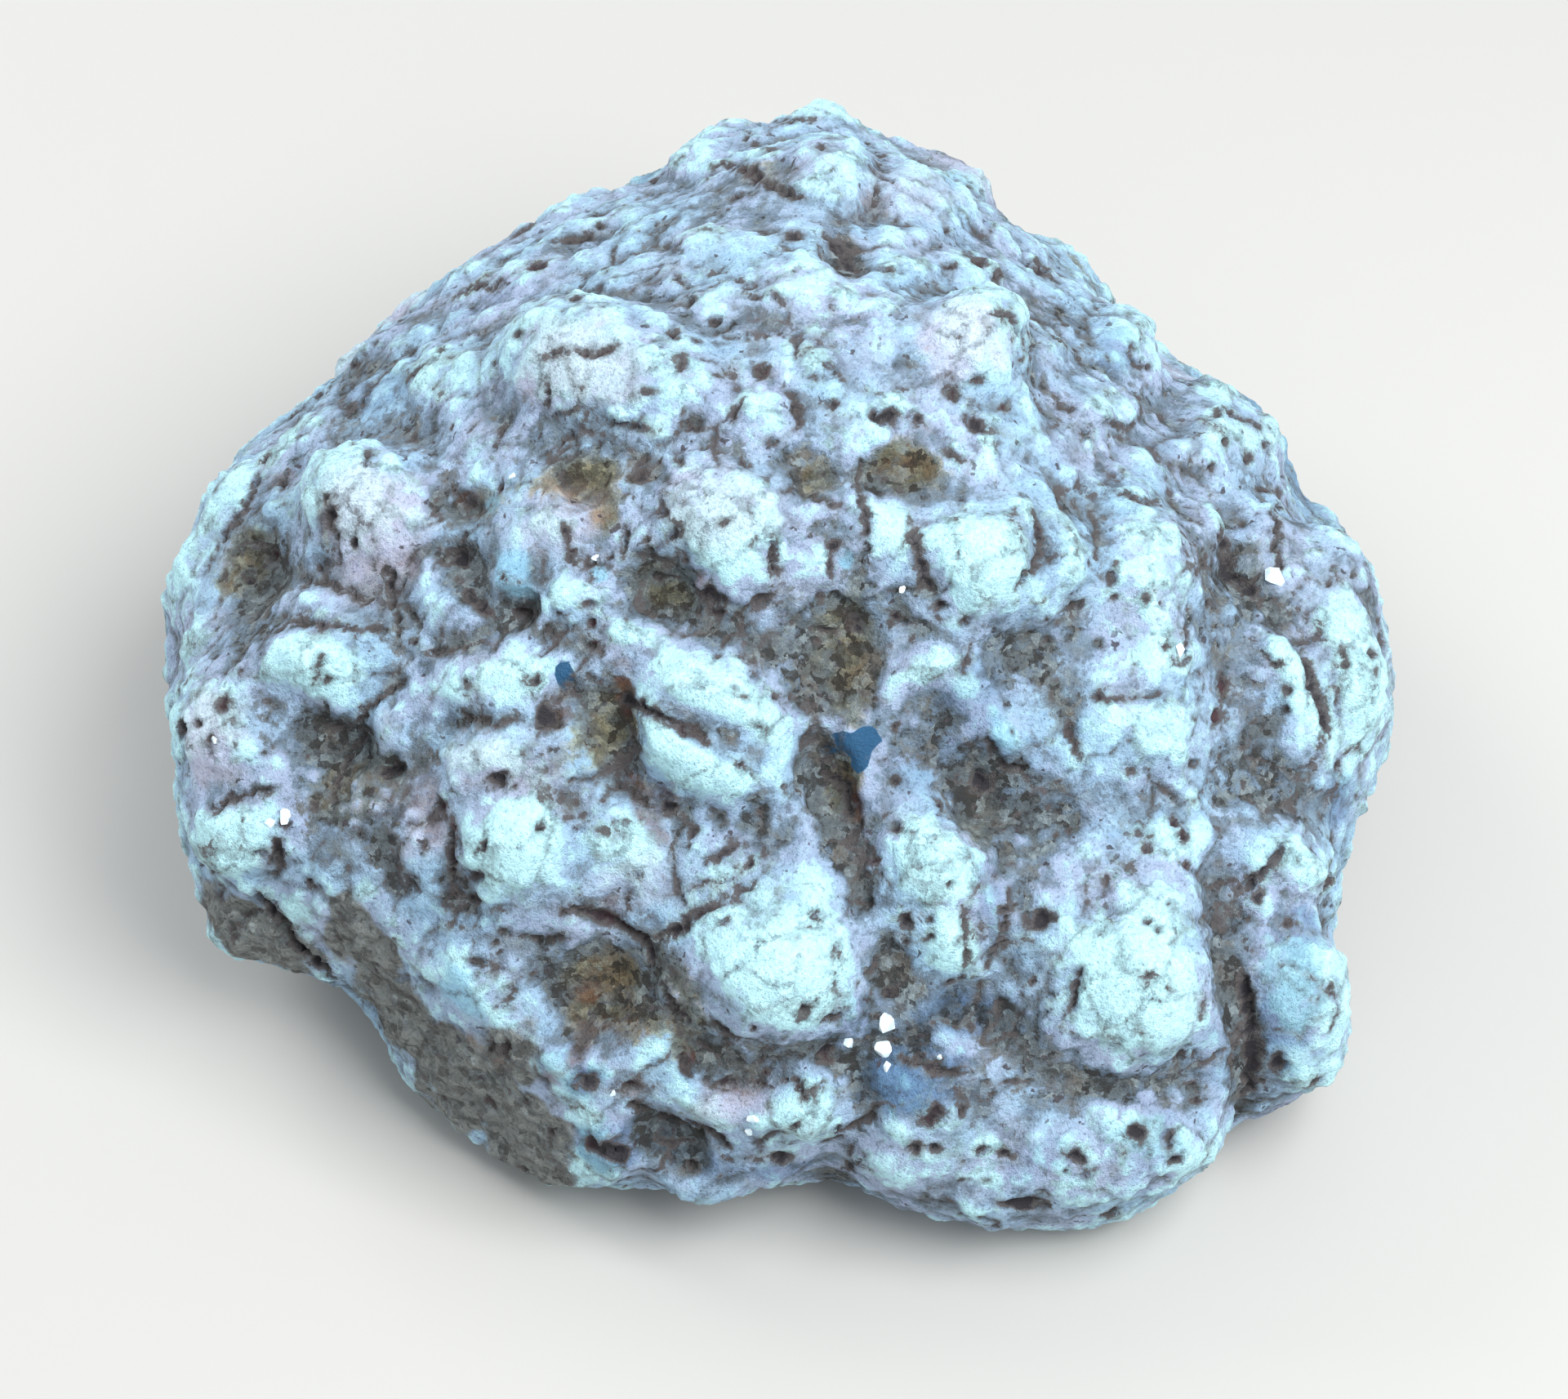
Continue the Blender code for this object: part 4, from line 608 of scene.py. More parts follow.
def ray(u, v):
    """The direction from the photograph's eye through a pixel."""
    scale = PIXELS_PER_MM * VIEW_DISTANCE
    across = (u - PHOTO_CENTRE[0]) / scale
    upward = (PHOTO_CENTRE[1] - v) / scale
    return (VIEW_FORWARD + VIEW_RIGHT * across + VIEW_UP * upward).normalized()


def add_object(name, data):
    """A new object in the scene that holds a mesh, a light or a camera."""
    thing = bpy.data.objects.new(name, data)
    bpy.context.scene.collection.objects.link(thing)
    return thing


def new_mesh(name, points, faces):
    """A new mesh from points in millimetres and faces."""
    mesh = bpy.data.meshes.new(name)
    mesh.from_pydata((points * MM).tolist(), [], faces.tolist())
    mesh.update()
    return mesh


def read_mesh(mesh):
    """The points of a mesh in millimetres, and its triangles."""
    points = np.empty(len(mesh.vertices) * 3)
    mesh.vertices.foreach_get("co", points)
    mesh.calc_loop_triangles()
    faces = np.empty(len(mesh.loop_triangles) * 3, dtype=np.int32)
    mesh.loop_triangles.foreach_get("vertices", faces)
    return points.reshape(-1, 3) / MM, faces.reshape(-1, 3)


def steady(values):
    """Values without their last digits, which may differ from one run to the next."""
    return np.round(values, STEADY_DIGITS)


def with_modifiers(name, mesh, settings):
    """The mesh after a stack of modifiers, each given as its kind and its settings."""
    carrier = add_object(name, mesh)
    for kind, values in settings:
        modifier = carrier.modifiers.new(kind.lower(), kind)
        for key, value in values.items():
            setattr(modifier, key, value)
    shaped = carrier.evaluated_get(bpy.context.evaluated_depsgraph_get())
    result = bpy.data.meshes.new_from_object(shaped)
    bpy.data.objects.remove(carrier)
    return result


def even_skin(node):
    """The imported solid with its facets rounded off, in cells of one size."""
    steps = [
        ("WELD", {"merge_threshold": WELD_GAP * MM}),
        ("SUBSURF", {"levels": ROUNDING_LEVELS, "render_levels": ROUNDING_LEVELS}),
        ("REMESH", {"mode": "VOXEL", "voxel_size": CELL * MM}),
        ("SMOOTH", {"factor": 0.5, "iterations": EVENING_ROUNDS}),
    ]
    return read_mesh(with_modifiers("skin", node.data.copy(), steps))


def thinned(points, faces):
    """The same surface with fewer triangles, most of them left where it bends."""
    ratio = min(1.0, TRIANGLES / len(faces))
    mesh = new_mesh("full", points, faces)
    return read_mesh(with_modifiers("thinned", mesh, [("DECIMATE", {"ratio": ratio})]))


def vertex_normals(points, faces):
    """Area-weighted vertex normals."""
    corners = points[faces]
    face_normals = np.cross(corners[:, 1] - corners[:, 0], corners[:, 2] - corners[:, 0])
    normals = np.zeros_like(points)
    for side in range(3):
        for axis in range(3):
            normals[:, axis] += np.bincount(faces[:, side], face_normals[:, axis], len(points))
    return normals / np.linalg.norm(normals, axis=1)[:, None]


def relief(ground, name):
    """How far each point stands above its evened-out surroundings, with 1 where it counts full."""
    rounds, full_height = RELIEFS[name]
    smoothing = [("SMOOTH", {"factor": 1.0, "iterations": rounds})]
    mesh = new_mesh("uneven", ground.points, ground.faces)
    evened, _ = read_mesh(with_modifiers("evened", mesh, smoothing))
    return np.einsum("ij,ij->i", ground.points - evened, ground.normals) / full_height


class Ground:
    """A surface that features are placed on: points, normals and triangles, and two ways to search them."""

    def __init__(self, points, faces):
        self.points = points
        self.faces = faces
        self.normals = vertex_normals(points, faces)
        self.lookup = KDTree(len(points))
        places = points.tolist()
        for index, place in enumerate(places):
            self.lookup.insert(place, index)
        self.lookup.balance()
        self.surface = BVHTree.FromPolygons(places, faces.tolist())

    def near(self, place, reach):
        """The points within reach of a place."""
        return np.array([found[1] for found in self.lookup.find_range(place, reach)], dtype=int)

    def seen_at(self, u, v):
        """The place and the normal under a pixel of the photograph, or None beside the stone."""
        place, normal, _, _ = self.surface.ray_cast(EYE, ray(u, v))
        return None if place is None else (place, normal)


def seen_rows(normal, spot):
    """The rows that turn an offset on the surface into a spot's own coordinates, with its rim at 1."""
    across = (VIEW_RIGHT - normal * VIEW_RIGHT.dot(normal)).normalized()
    plane = np.array([across, normal.cross(across)])
    outer, openness, inner = np.linalg.svd(np.array([VIEW_RIGHT, VIEW_UP]) @ plane.T)
    as_seen = outer @ np.diag(np.maximum(openness, LEAST_OPEN)) @ inner @ plane
    angle = math.radians(spot.turn)
    row_a = (as_seen[0] * math.cos(angle) + as_seen[1] * math.sin(angle)) * 2.0 / spot.across
    row_b = (as_seen[1] * math.cos(angle) - as_seen[0] * math.sin(angle)) * 2.0 / spot.along
    return row_a, row_b


def ripple(places, wavelength, seed):
    """Smooth noise from about -1 to 1 at each place."""
    shift = Vector([step * seed for step in NOISE_SHIFT])
    moved = (places / wavelength + np.array(shift)).tolist()
    return np.array([noise.noise(place) for place in moved]) * NOISE_GAIN


class Mark(NamedTuple):
    """A spot placed on the stone: its middle, the rows that turn an offset into its own coordinates, its
    smaller and greater half sizes in mm, and its strength."""

    place: np.ndarray
    row_a: np.ndarray
    row_b: np.ndarray
    half: float
    reach: float
    strength: float

    def rim(self, points, ragged, wavelength, seed):
        """How far out each point lies, with 1 at the mark's ragged rim."""
        offsets = points - self.place
        smooth_rim = np.hypot(offsets @ self.row_a, offsets @ self.row_b)
        return smooth_rim + ragged * ripple(points, wavelength, seed)


class Line(NamedTuple):
    """A crack laid along the stone: places close together, the normals there, its width and its depth."""

    places: np.ndarray
    normals: np.ndarray
    width: float
    depth: float


def seen_marks(ground, table):
    """The spots of a table, placed where the photograph shows them."""
    marks = []
    for spot in table:
        hit = ground.seen_at(spot.u, spot.v)
        if hit is None:
            continue
        place, normal = hit
        row_a, row_b = seen_rows(normal, spot)
        half = min(spot.across, spot.along) / 2.0
        reach = max(spot.across, spot.along) / 2.0 / LEAST_OPEN
        marks.append(Mark(np.array(place), row_a, row_b, half, reach, spot.strength))
    return marks


def chosen_starts(ground, growth, recess, chance):
    """Points for seeded features, spread at random, with the recesses preferred as the growth says."""
    liking = 1.0 - growth.in_recesses + growth.in_recesses * recess
    return chance.choice(len(ground.points), growth.count, replace=False, p=liking / liking.sum())


def crossing(normal, heading):
    """Two directions along the surface, square to its normal and to each other, set by a heading."""
    across = np.cross(normal, heading)
    across /= np.linalg.norm(across)
    return across, np.cross(normal, across)


def seeded_marks(ground, growth, recess):
    """Small marks spread over the whole stone."""
    chance = np.random.default_rng(growth.seed)
    marks = []
    for start in chosen_starts(ground, growth, recess, chance):
        size = chance.uniform(growth.least, growth.most)
        half = size * chance.uniform(*PIT_STRETCH) / 2.0
        across, along = crossing(ground.normals[start], chance.normal(0.0, 1.0, 3))
        strength = chance.uniform(growth.weakest, growth.strongest)
        place = ground.points[start]
        marks.append(Mark(place, across * 2.0 / size, along / half, half, size / 2.0, strength))
    return marks


def seen_lines(ground):
    """The cracks of the table, laid along the stone with a small wander."""
    lines = []
    for number, crack in enumerate(CRACKS):
        places, normals = [], []
        for (u, v), (next_u, next_v) in zip(crack.path, crack.path[1:]):
            steps = max(1, round(math.hypot(next_u - u, next_v - v) / (CRACK_STEP * PIXELS_PER_MM)))
            for step in range(steps):
                share = step / steps
                bend_u = noise.noise(Vector((u + step * BEND_PACE, number, 0.0))) * CRACK_BEND
                bend_v = noise.noise(Vector((v + step * BEND_PACE, number, BEND_LAYER))) * CRACK_BEND
                hit = ground.seen_at(u + (next_u - u) * share + bend_u, v + (next_v - v) * share + bend_v)
                if hit is not None:
                    places.append(hit[0])
                    normals.append(hit[1])
        if places:
            lines.append(Line(np.array(places), np.array(normals), crack.width, crack.depth))
    return lines


def seeded_lines(ground, growth, recess):
    """Short cracks that wander over the whole stone."""
    chance = np.random.default_rng(growth.seed)
    lines = []
    for start in chosen_starts(ground, growth, recess, chance):
        place = Vector(ground.points[start])
        normal = Vector(ground.normals[start])
        heading = normal.cross(Vector(chance.normal(0.0, 1.0, 3))).normalized()
        places, normals = [], []
        for _ in range(round(chance.uniform(growth.least, growth.most) / CRACK_STEP)):
            places.append(place)
            normals.append(normal)
            heading = (heading + normal.cross(heading) * chance.normal(0.0, CRACK_WANDER)).normalized()
            place, normal, _, _ = ground.surface.find_nearest(place + heading * CRACK_STEP)
            heading = (heading - normal * heading.dot(normal)).normalized()
        width = chance.uniform(*CRACK_WIDTH)
        depth = chance.uniform(growth.weakest, growth.strongest)
        lines.append(Line(np.array(places), np.array(normals), width, depth))
    return lines


def inside_marks(ground, marks, ragged, seed):
    """How far inside the ragged rim of a mark each point lies, in mm and below 0 outside, and its depth."""
    inside = np.full(len(ground.points), -MARK_EDGE)
    depth = np.zeros(len(ground.points))
    for mark in marks:
        close = ground.near(mark.place, mark.reach + MARK_EDGE)
        if len(close) == 0:
            continue
        wavelength = mark.half * RIM_WAVE_SHARE + RIM_WAVE_LEAST
        rim = mark.rim(ground.points[close], ragged, wavelength, seed)
        floor = np.clip((1.0 - rim) * PIT_STEEPNESS, 0.0, 1.0) * mark.strength
        inside[close] = np.maximum(inside[close], (1.0 - rim) * mark.half)
        depth[close] = np.maximum(depth[close], floor)
    return inside, depth


def inside_lines(ground, lines):
    """How far inside a crack each point lies, in mm and below 0 outside, and the crack's depth there."""
    inside = np.full(len(ground.points), -MARK_EDGE)
    depth = np.zeros(len(ground.points))
    for line in lines:
        count = len(line.places)
        for step in range(count):
            from_tip = min(step, count - 1 - step) * CRACK_STEP
            taper = min(1.0, CRACK_TIP + from_tip / line.width * CRACK_WIDENING)
            swell = 1.0 + CRACK_SWELL * noise.noise(Vector(line.places[step]))
            half = line.width / 2.0 * taper * swell
            close = ground.near(line.places[step], half + MARK_EDGE)
            if len(close) == 0:
                continue
            offsets = ground.points[close] - line.places[step]
            offsets -= (offsets @ line.normals[step])[:, None] * line.normals[step]
            lying = half - np.linalg.norm(offsets, axis=1)
            floor = np.clip(lying / half * CRACK_STEEPNESS, 0.0, 1.0) * line.depth * taper
            inside[close] = np.maximum(inside[close], lying)
            depth[close] = np.maximum(depth[close], floor)
    return inside, depth


def wash(ground, name):
    """A soft stain from 0 to 1 around its spots' middles, with a ragged fading rim."""
    table, seed = WASHES[name]
    amount = np.zeros(len(ground.points))
    for mark in seen_marks(ground, table):
        close = ground.near(mark.place, mark.reach * WASH_END)
        if len(close) == 0:
            continue
        rim = mark.rim(ground.points[close], WASH_RAGGED, WASH_WAVE, seed)
        share = np.clip(WASH_END - rim, 0.0, WASH_FADE) / WASH_FADE
        amount[close] = np.maximum(amount[close], share * mark.strength)
    return amount


def hidden_share(points):
    """0 on the side that shows, and up to 1 behind it."""
    behind = (points - np.array(AIM_POINT)) @ np.array(VIEW_FORWARD)
    return np.clip((behind - HIDDEN_START) / HIDDEN_FADE, 0.0, 1.0)


def cloud(points, name):
    """Patches of a wash on the hidden side, from 0 to 1."""
    wavelength, rareness = CLOUDS[name]
    _, seed = WASHES[name]
    patches = np.clip(CLOUD_STEEPNESS * (ripple(points, wavelength, seed) - rareness), 0.0, 1.0)
    return patches * hidden_share(points)


def raise_lumps(ground, growth):
    """The height of seeded round lumps on the ground. Where they overlap, the higher one wins."""
    chance = np.random.default_rng(growth.seed)
    height = np.zeros(len(ground.points))
    for start in chance.integers(0, len(ground.points), growth.count):
        width = chance.uniform(growth.least, growth.most)
        proud = chance.uniform(growth.weakest, growth.strongest) * width
        stretch = chance.uniform(*LUMP_STRETCH)
        across, along = crossing(ground.normals[start], chance.normal(0.0, 1.0, 3))
        close = ground.near(ground.points[start], width * 0.5)
        offsets = ground.points[close] - ground.points[start]
        rim = (offsets @ across / (width * 0.5)) ** 2 + (offsets @ along / (width * 0.5 * stretch)) ** 2
        rise = np.clip(1.0 - rim, 0.0, 1.0) ** LUMP_FULLNESS * proud
        height[close] = np.maximum(height[close], rise)
    return height


def skin_noise(points, layers):
    """The roughness of a skin, from layers of noise."""
    height = np.zeros(len(points))
    for number, (wavelength, size) in enumerate(layers):
        height += size * ripple(points, wavelength, ROUGHNESS_SEED + number)
    return height


def groove_gaps(points, size):
    """How far each point lies from the nearest groove between blocks of a size, in mm."""
    gaps = []
    for point in points.tolist():
        place = Vector(point)
        place += noise.noise_vector(place / BLOCK_SWAY_WAVE) * BLOCK_SWAY
        nearest, second = noise.voronoi(place / size)[0][:2]
        gaps.append(second - nearest)
    return np.array(gaps) * size / 2.0


def block_rise(gaps):
    """The domes of the blocks that the crust is broken into, from the gaps to the grooves between them."""
    height = np.zeros(len(gaps[0]))
    for gap, (_, dome, shoulder) in zip(gaps, BLOCKS):
        height += dome * (1.0 - np.exp(-((gap / shoulder) ** 2)))
    return height


def inside_seams(points, gap, recess):
    """How far inside an open groove each point lies, in mm and below 0 outside."""
    openness = np.clip(ripple(points, SEAM_WAVE, SEAM_SEED) + SEAM_SHARE, -1.0, 1.0) * recess
    return SEAM_HALF * openness - gap


def recesses(ground):
    """1 for the points that lie low in their surroundings, down to almost 0 for those that stand proud."""
    level = steady(relief(ground, "large_relief"))
    return np.clip(RECESS_LEVEL - level, RECESS_LEAST, 1.0)


def grown_height(skin, gaps):
    """How far the lumps, the blocks and the roughness raise each point of the skin, in mm."""
    chalk_and_highlight = np.clip(CHALK_REACH * wash(skin, "chalk_and_highlight"), 0.0, 1.0)
    shaded_bare_face = wash(skin, "shaded_bare_face")
    calm = (1.0 - CHALK_CALM * chalk_and_highlight) * (1.0 - FACE_CALM * shaded_bare_face)
    height = (raise_lumps(skin, BUDS) + block_rise(gaps)) * calm
    height += raise_lumps(skin, GRAINS) + skin_noise(skin.points, ROUGHNESS)
    height += shaded_bare_face * skin_noise(skin.points, FACE_ROUGHNESS)
    return steady(height)


def grow_crust(node):
    """The shape of the stone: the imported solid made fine, with the small lumps, pits and cracks on it.

    Returns the finished ground and the full one that it was thinned from, and the marks, lines and seams
    that were cut, for the painting."""
    noise.seed_set(BLOCK_SEED)
    points, faces = even_skin(node)
    skin = Ground(points, faces)
    fade = np.clip((points[:, 2] - FOOT_TOP) / FOOT_FADE, 0.0, 1.0)
    gaps = [groove_gaps(points, size) for size, _, _ in BLOCKS]
    raised = (grown_height(skin, gaps) - CRUST_SINK) * fade
    lumpy = Ground(points + skin.normals * raised[:, None], faces)
    recess = recesses(lumpy)
    marks = seen_marks(lumpy, PITS) + seeded_marks(lumpy, SMALL_PITS, recess)
    lines = seen_lines(lumpy) + seeded_lines(lumpy, SHORT_CRACKS, recess)
    seams = inside_seams(points, gaps[0], recess)
    _, pit_depth = inside_marks(lumpy, marks, PIT_RAGGED, PIT_SEED)
    _, crack_depth = inside_lines(lumpy, lines)
    seam_depth = np.clip(seams / SEAM_HALF * SEAM_STEEPNESS, 0.0, 1.0) * SEAM_DEPTH
    sunk = np.maximum(np.maximum(pit_depth, crack_depth), seam_depth) * fade
    cut = lumpy.points - lumpy.normals * sunk[:, None]
    cut[:, 2] = np.maximum(cut[:, 2], 0.0)
    cut = steady(cut)
    return Ground(*thinned(cut, faces)), Ground(cut, faces), marks, lines, seams


def give(mesh, name, values):
    """Store one number for each point of a mesh, for its material."""
    layer = mesh.attributes.new(name, "FLOAT", "POINT")
    layer.data.foreach_set("value", np.ascontiguousarray(values, dtype=np.float32))


def paint(mesh, final, full, marks, lines, seams):
    """Tell the material how high, how cracked and how deep in each wash each point is."""
    nearest = np.array([full.lookup.find(point)[1] for point in final.points.tolist()])
    for name in RELIEFS:
        give(mesh, name, np.clip(relief(full, name)[nearest], -1.0, 1.0))
    in_mark, _ = inside_marks(final, marks, PIT_RAGGED, PIT_SEED)
    in_line, _ = inside_lines(final, lines)
    in_seam = np.clip(seams[nearest] - SEAM_FAINT, -MARK_EDGE, None)
    give(mesh, "gash", np.maximum(np.maximum(in_mark, in_line), in_seam))
    for name in WASHES:
        amount = wash(final, name)
        if name in CLOUDS:
            amount = np.maximum(amount, cloud(final.points, name))
        give(mesh, name, amount)
    in_blue, _ = inside_marks(final, seen_marks(final, BLUE), BLUE_RAGGED, BLUE_SEED)
    give(mesh, "blue", in_blue)


class Graph:
    """A material's nodes, each added with one call that returns its output."""

    def __init__(self, material):
        self.nodes = material.node_tree.nodes
        self.links = material.node_tree.links
        self.place = self.nodes.new("ShaderNodeTexCoord").outputs["Object"]

    def feed(self, socket, value):
        """Set a socket to a number or a colour, or link another node's output to it."""
        if isinstance(value, bpy.types.NodeSocket):
            self.links.new(value, socket)
        else:
            socket.default_value = value

    def attribute(self, name):
        """A value that was stored for each point of the mesh."""
        node = self.nodes.new("ShaderNodeAttribute")
        node.attribute_name = name
        return node.outputs["Fac"]

    def maths(self, operation, *values, kind="ShaderNodeMath"):
        node = self.nodes.new(kind)
        node.operation = operation
        for socket, value in zip(node.inputs, values):
            self.feed(socket, value)
        return node.outputs[0]

    def add(self, first, second):
        return self.maths("ADD", first, second)

    def times(self, first, second):
        return self.maths("MULTIPLY", first, second)

    def step(self, value, low, high, end=1.0):
        """0 below low, end above high, and a soft change between."""
        node = self.nodes.new("ShaderNodeMapRange")
        node.interpolation_type = "SMOOTHSTEP"
        self.feed(node.inputs["Value"], value)
        node.inputs["From Min"].default_value = low
        node.inputs["From Max"].default_value = high
        node.inputs["To Max"].default_value = end
        return node.outputs["Result"]

    def blend(self, kind, share, first, second):
        """Two colours together, with a share of what the second does to the first."""
        node = self.nodes.new("ShaderNodeMix")
        node.data_type = "RGBA"
        node.blend_type = kind
        self.feed(node.inputs["Factor"], share)
        self.feed(node.inputs[MIX_FIRST], first)
        self.feed(node.inputs[MIX_SECOND], second)
        return node.outputs[MIX_RESULT]

    def mix(self, share, first, second):
        return self.blend("MIX", share, first, second)

    def multiply(self, share, first, second):
        return self.blend("MULTIPLY", share, first, second)

    def shifted(self, seed, stretch=(1.0, 1.0, 1.0), turn=(0.0, 0.0, 0.0)):
        """The point's place, shifted to another part of the noise for each seed."""
        node = self.nodes.new("ShaderNodeMapping")
        node.inputs["Location"].default_value = (seed * 0.37, seed * 0.71, seed * 0.13)
        node.inputs["Rotation"].default_value = turn
        node.inputs["Scale"].default_value = stretch
        self.links.new(self.place, node.inputs["Vector"])
        return node.outputs["Vector"]

    def haze(self, place, wavelength, detail, roughness=0.5):
        """The node of cloudy noise with a wavelength in mm, around 0.5."""
        node = self.nodes.new("ShaderNodeTexNoise")
        node.inputs["Scale"].default_value = 1.0 / (wavelength * MM)
        node.inputs["Detail"].default_value = detail
        node.inputs["Roughness"].default_value = roughness
        self.links.new(place, node.inputs["Vector"])
        return node

    def noise(self, wavelength, seed, detail=3.0, roughness=0.6, place=None):
        """Cloudy noise around 0, mostly from -1 to 1, with a wavelength in mm."""
        node = self.haze(place or self.shifted(seed), wavelength, detail, roughness)
        return self.times(self.add(node.outputs["Fac"], -0.5), 3.0)

    def swayed(self, place, wavelength, reach):
        """A place that is moved about by cloudy noise, by up to a reach in mm."""
        shade = self.haze(place, wavelength, 3.0).outputs["Color"]
        centred = self.maths("SUBTRACT", shade, (0.5,) * 3, kind="ShaderNodeVectorMath")
        spread = (2.0 * reach * MM,) * 3
        return self.maths("MULTIPLY_ADD", centred, spread, place, kind="ShaderNodeVectorMath")

    def cells(self, size, seed):
        """A mosaic of ragged cells with a size in mm: the distance to the middle, and a random number."""
        node = self.nodes.new("ShaderNodeTexVoronoi")
        node.inputs["Scale"].default_value = 1.0 / (size * MM)
        self.links.new(self.swayed(self.shifted(seed), size, size), node.inputs["Vector"])
        parts = self.nodes.new("ShaderNodeSeparateColor")
        self.links.new(node.outputs["Color"], parts.inputs["Color"])
        return node.outputs["Distance"], parts.outputs[0]


def new_material(name):
    """A new material with nodes, and its shader."""
    material = bpy.data.materials.new(name)
    material.use_nodes = True
    return material, material.node_tree.nodes["Principled BSDF"]


def crust_finish():
    """The stone's one material: white and blue-grey crust on what stands up, clay and painted shade in what
    lies low.
    """
    material, shader = new_material("chalcedony_crust")
    graph = Graph(material)
    ragged = graph.noise(2.6, 1, 5.0, 0.75)
    fine = graph.noise(0.9, 2, 4.0, 0.75)
    grit = graph.noise(0.5, 10, 3.0, 0.8)
    grains, small_pick = grain_mosaic(graph)
    # The level follows the relief, so the recesses darken as painted shade on top of the clay they hold
    level = 0.0
    for name, weight in LEVEL_WEIGHTS.items():
        level = graph.add(level, graph.times(graph.attribute(name), weight))
    mixed = graph.add(level, graph.times(ragged, 0.34))
    mixed = graph.add(mixed, graph.times(fine, 0.2))
    mixed = graph.add(mixed, grains)
    clay_and_shade_tone = recess_tone(graph)
    tone = crest_tone(graph, mixed, clay_and_shade_tone)
    # The bare face's wash also lays painted shade on the face and under the ledge
    shaded_bare_face = graph.add(graph.attribute("shaded_bare_face"), graph.times(ragged, 0.25))
    tone = graph.mix(graph.step(shaded_bare_face, 0.35, 0.7), tone, face_and_shade_tone(graph))
    tone = stained(graph, tone, ragged, mixed)
    tone = speckled(graph, tone, level)
    tone = graph.mix(graph.step(graph.attribute("sky"), 0.3, 0.9, 0.8), tone, PALE_BLUE)
    tone = graph.multiply(graph.step(small_pick, 0.4, 1.0, 0.55), tone, GRAIN_SHADE)
    tone = graph.multiply(graph.step(fine, 0.1, 0.9, 0.6), tone, GRAIN_SHADE)
    tone = graph.multiply(graph.step(grit, 0.0, 0.6), tone, GRIT_SHADE)
    tone = graph.mix(graph.step(graph.attribute("blue"), -0.05, 0.1), tone, BLUE_MINERAL)
    tone = gashed(graph, tone, clay_and_shade_tone, ragged, fine, small_pick)
    roughness = graph.add(graph.step(mixed, 0.0, 0.9, -0.3), 0.82)
    graph.links.new(tone, shader.inputs["Base Color"])
    graph.links.new(roughness, shader.inputs["Roughness"])
    graph.links.new(crust_grit(graph, grains, grit), shader.inputs["Normal"])
    return material


def grain_mosaic(graph):
    """Interlocked grains of one to two millimetres, as numbers around 0 that lift a grain or sink it, and
    the small grains' own random numbers."""
    _, coarse = graph.cells(1.9, 21)
    _, small = graph.cells(0.95, 22)
    both = graph.add(graph.times(coarse, 0.42), graph.times(small, 0.38))
    return graph.add(both, -0.4), small


def crest_tone(graph, mixed, clay_and_shade_tone):
    """Clay and painted shade low down, then a painted blue shade mixed with taupe grime, then lavender and
    sky blue, and a cyan white on what stands proud, with a rosy cast on some bosses."""
    tint = graph.mix(graph.step(graph.noise(12.0, 3, 3.0, 0.6), -0.5, 0.5), LAVENDER, SKY)
    shade_and_grime = graph.mix(graph.step(graph.noise(5.5, 31, 5.0, 0.7), 0.0, 0.5, 0.8), PAINTED_SHADE_BLUE, TAUPE)
    tone = graph.mix(graph.step(mixed, -0.95, -0.5), clay_and_shade_tone, shade_and_grime)
    tone = graph.mix(graph.step(mixed, -0.55, -0.05), tone, tint)
    tone = graph.mix(graph.step(mixed, 0.0, 0.75), tone, CREST)
    return graph.mix(graph.step(graph.attribute("rose"), 0.1, 0.9, 0.6), tone, ROSY)


def recess_tone(graph):
    """Weathered clay, also laid as painted shade in the deepest recesses: grey and taupe, mottled with dark
    olive and paler grains.
    """
    cloudy = graph.times(graph.noise(3.0, 5, 5.0, 0.75), 0.5)
    fine = graph.times(graph.noise(1.1, 24, 3.0, 0.7), 0.35)
    _, grain = graph.cells(1.3, 23)
    mottle = graph.add(graph.add(cloudy, fine), graph.add(grain, -0.5))
    middle = graph.mix(graph.step(graph.noise(6.0, 34, 4.0, 0.7), -0.1, 0.5), CLAY_GREY, TAUPE)
    tone = graph.mix(graph.step(mottle, -0.4, 0.15), CLAY_OLIVE, middle)
    return graph.mix(graph.step(mottle, 0.15, 0.7), tone, CLAY_PALE)


def face_and_shade_tone(graph):
    """The bare broken face: olive grey and mottled, with streaks that run down it to the right, and dark
    partly as painted shade.
    """
    streaks = graph.noise(2.0, 12, 4.0, 0.7, graph.shifted(12, FACE_STRETCH, FACE_TURN))
    cloudy = graph.noise(1.2, 32, 4.0, 0.75)
    _, grain = graph.cells(1.1, 33)
    mottle = graph.add(graph.times(streaks, 0.6), graph.times(cloudy, 0.4))
    mottle = graph.add(mottle, graph.times(graph.add(grain, -0.5), 0.8))
    tone = graph.mix(graph.step(mottle, -0.6, 0.3), FACE_DARK, FACE_PALE)
    return graph.mix(graph.step(mottle, 0.35, 0.9), tone, FACE_LIGHT)


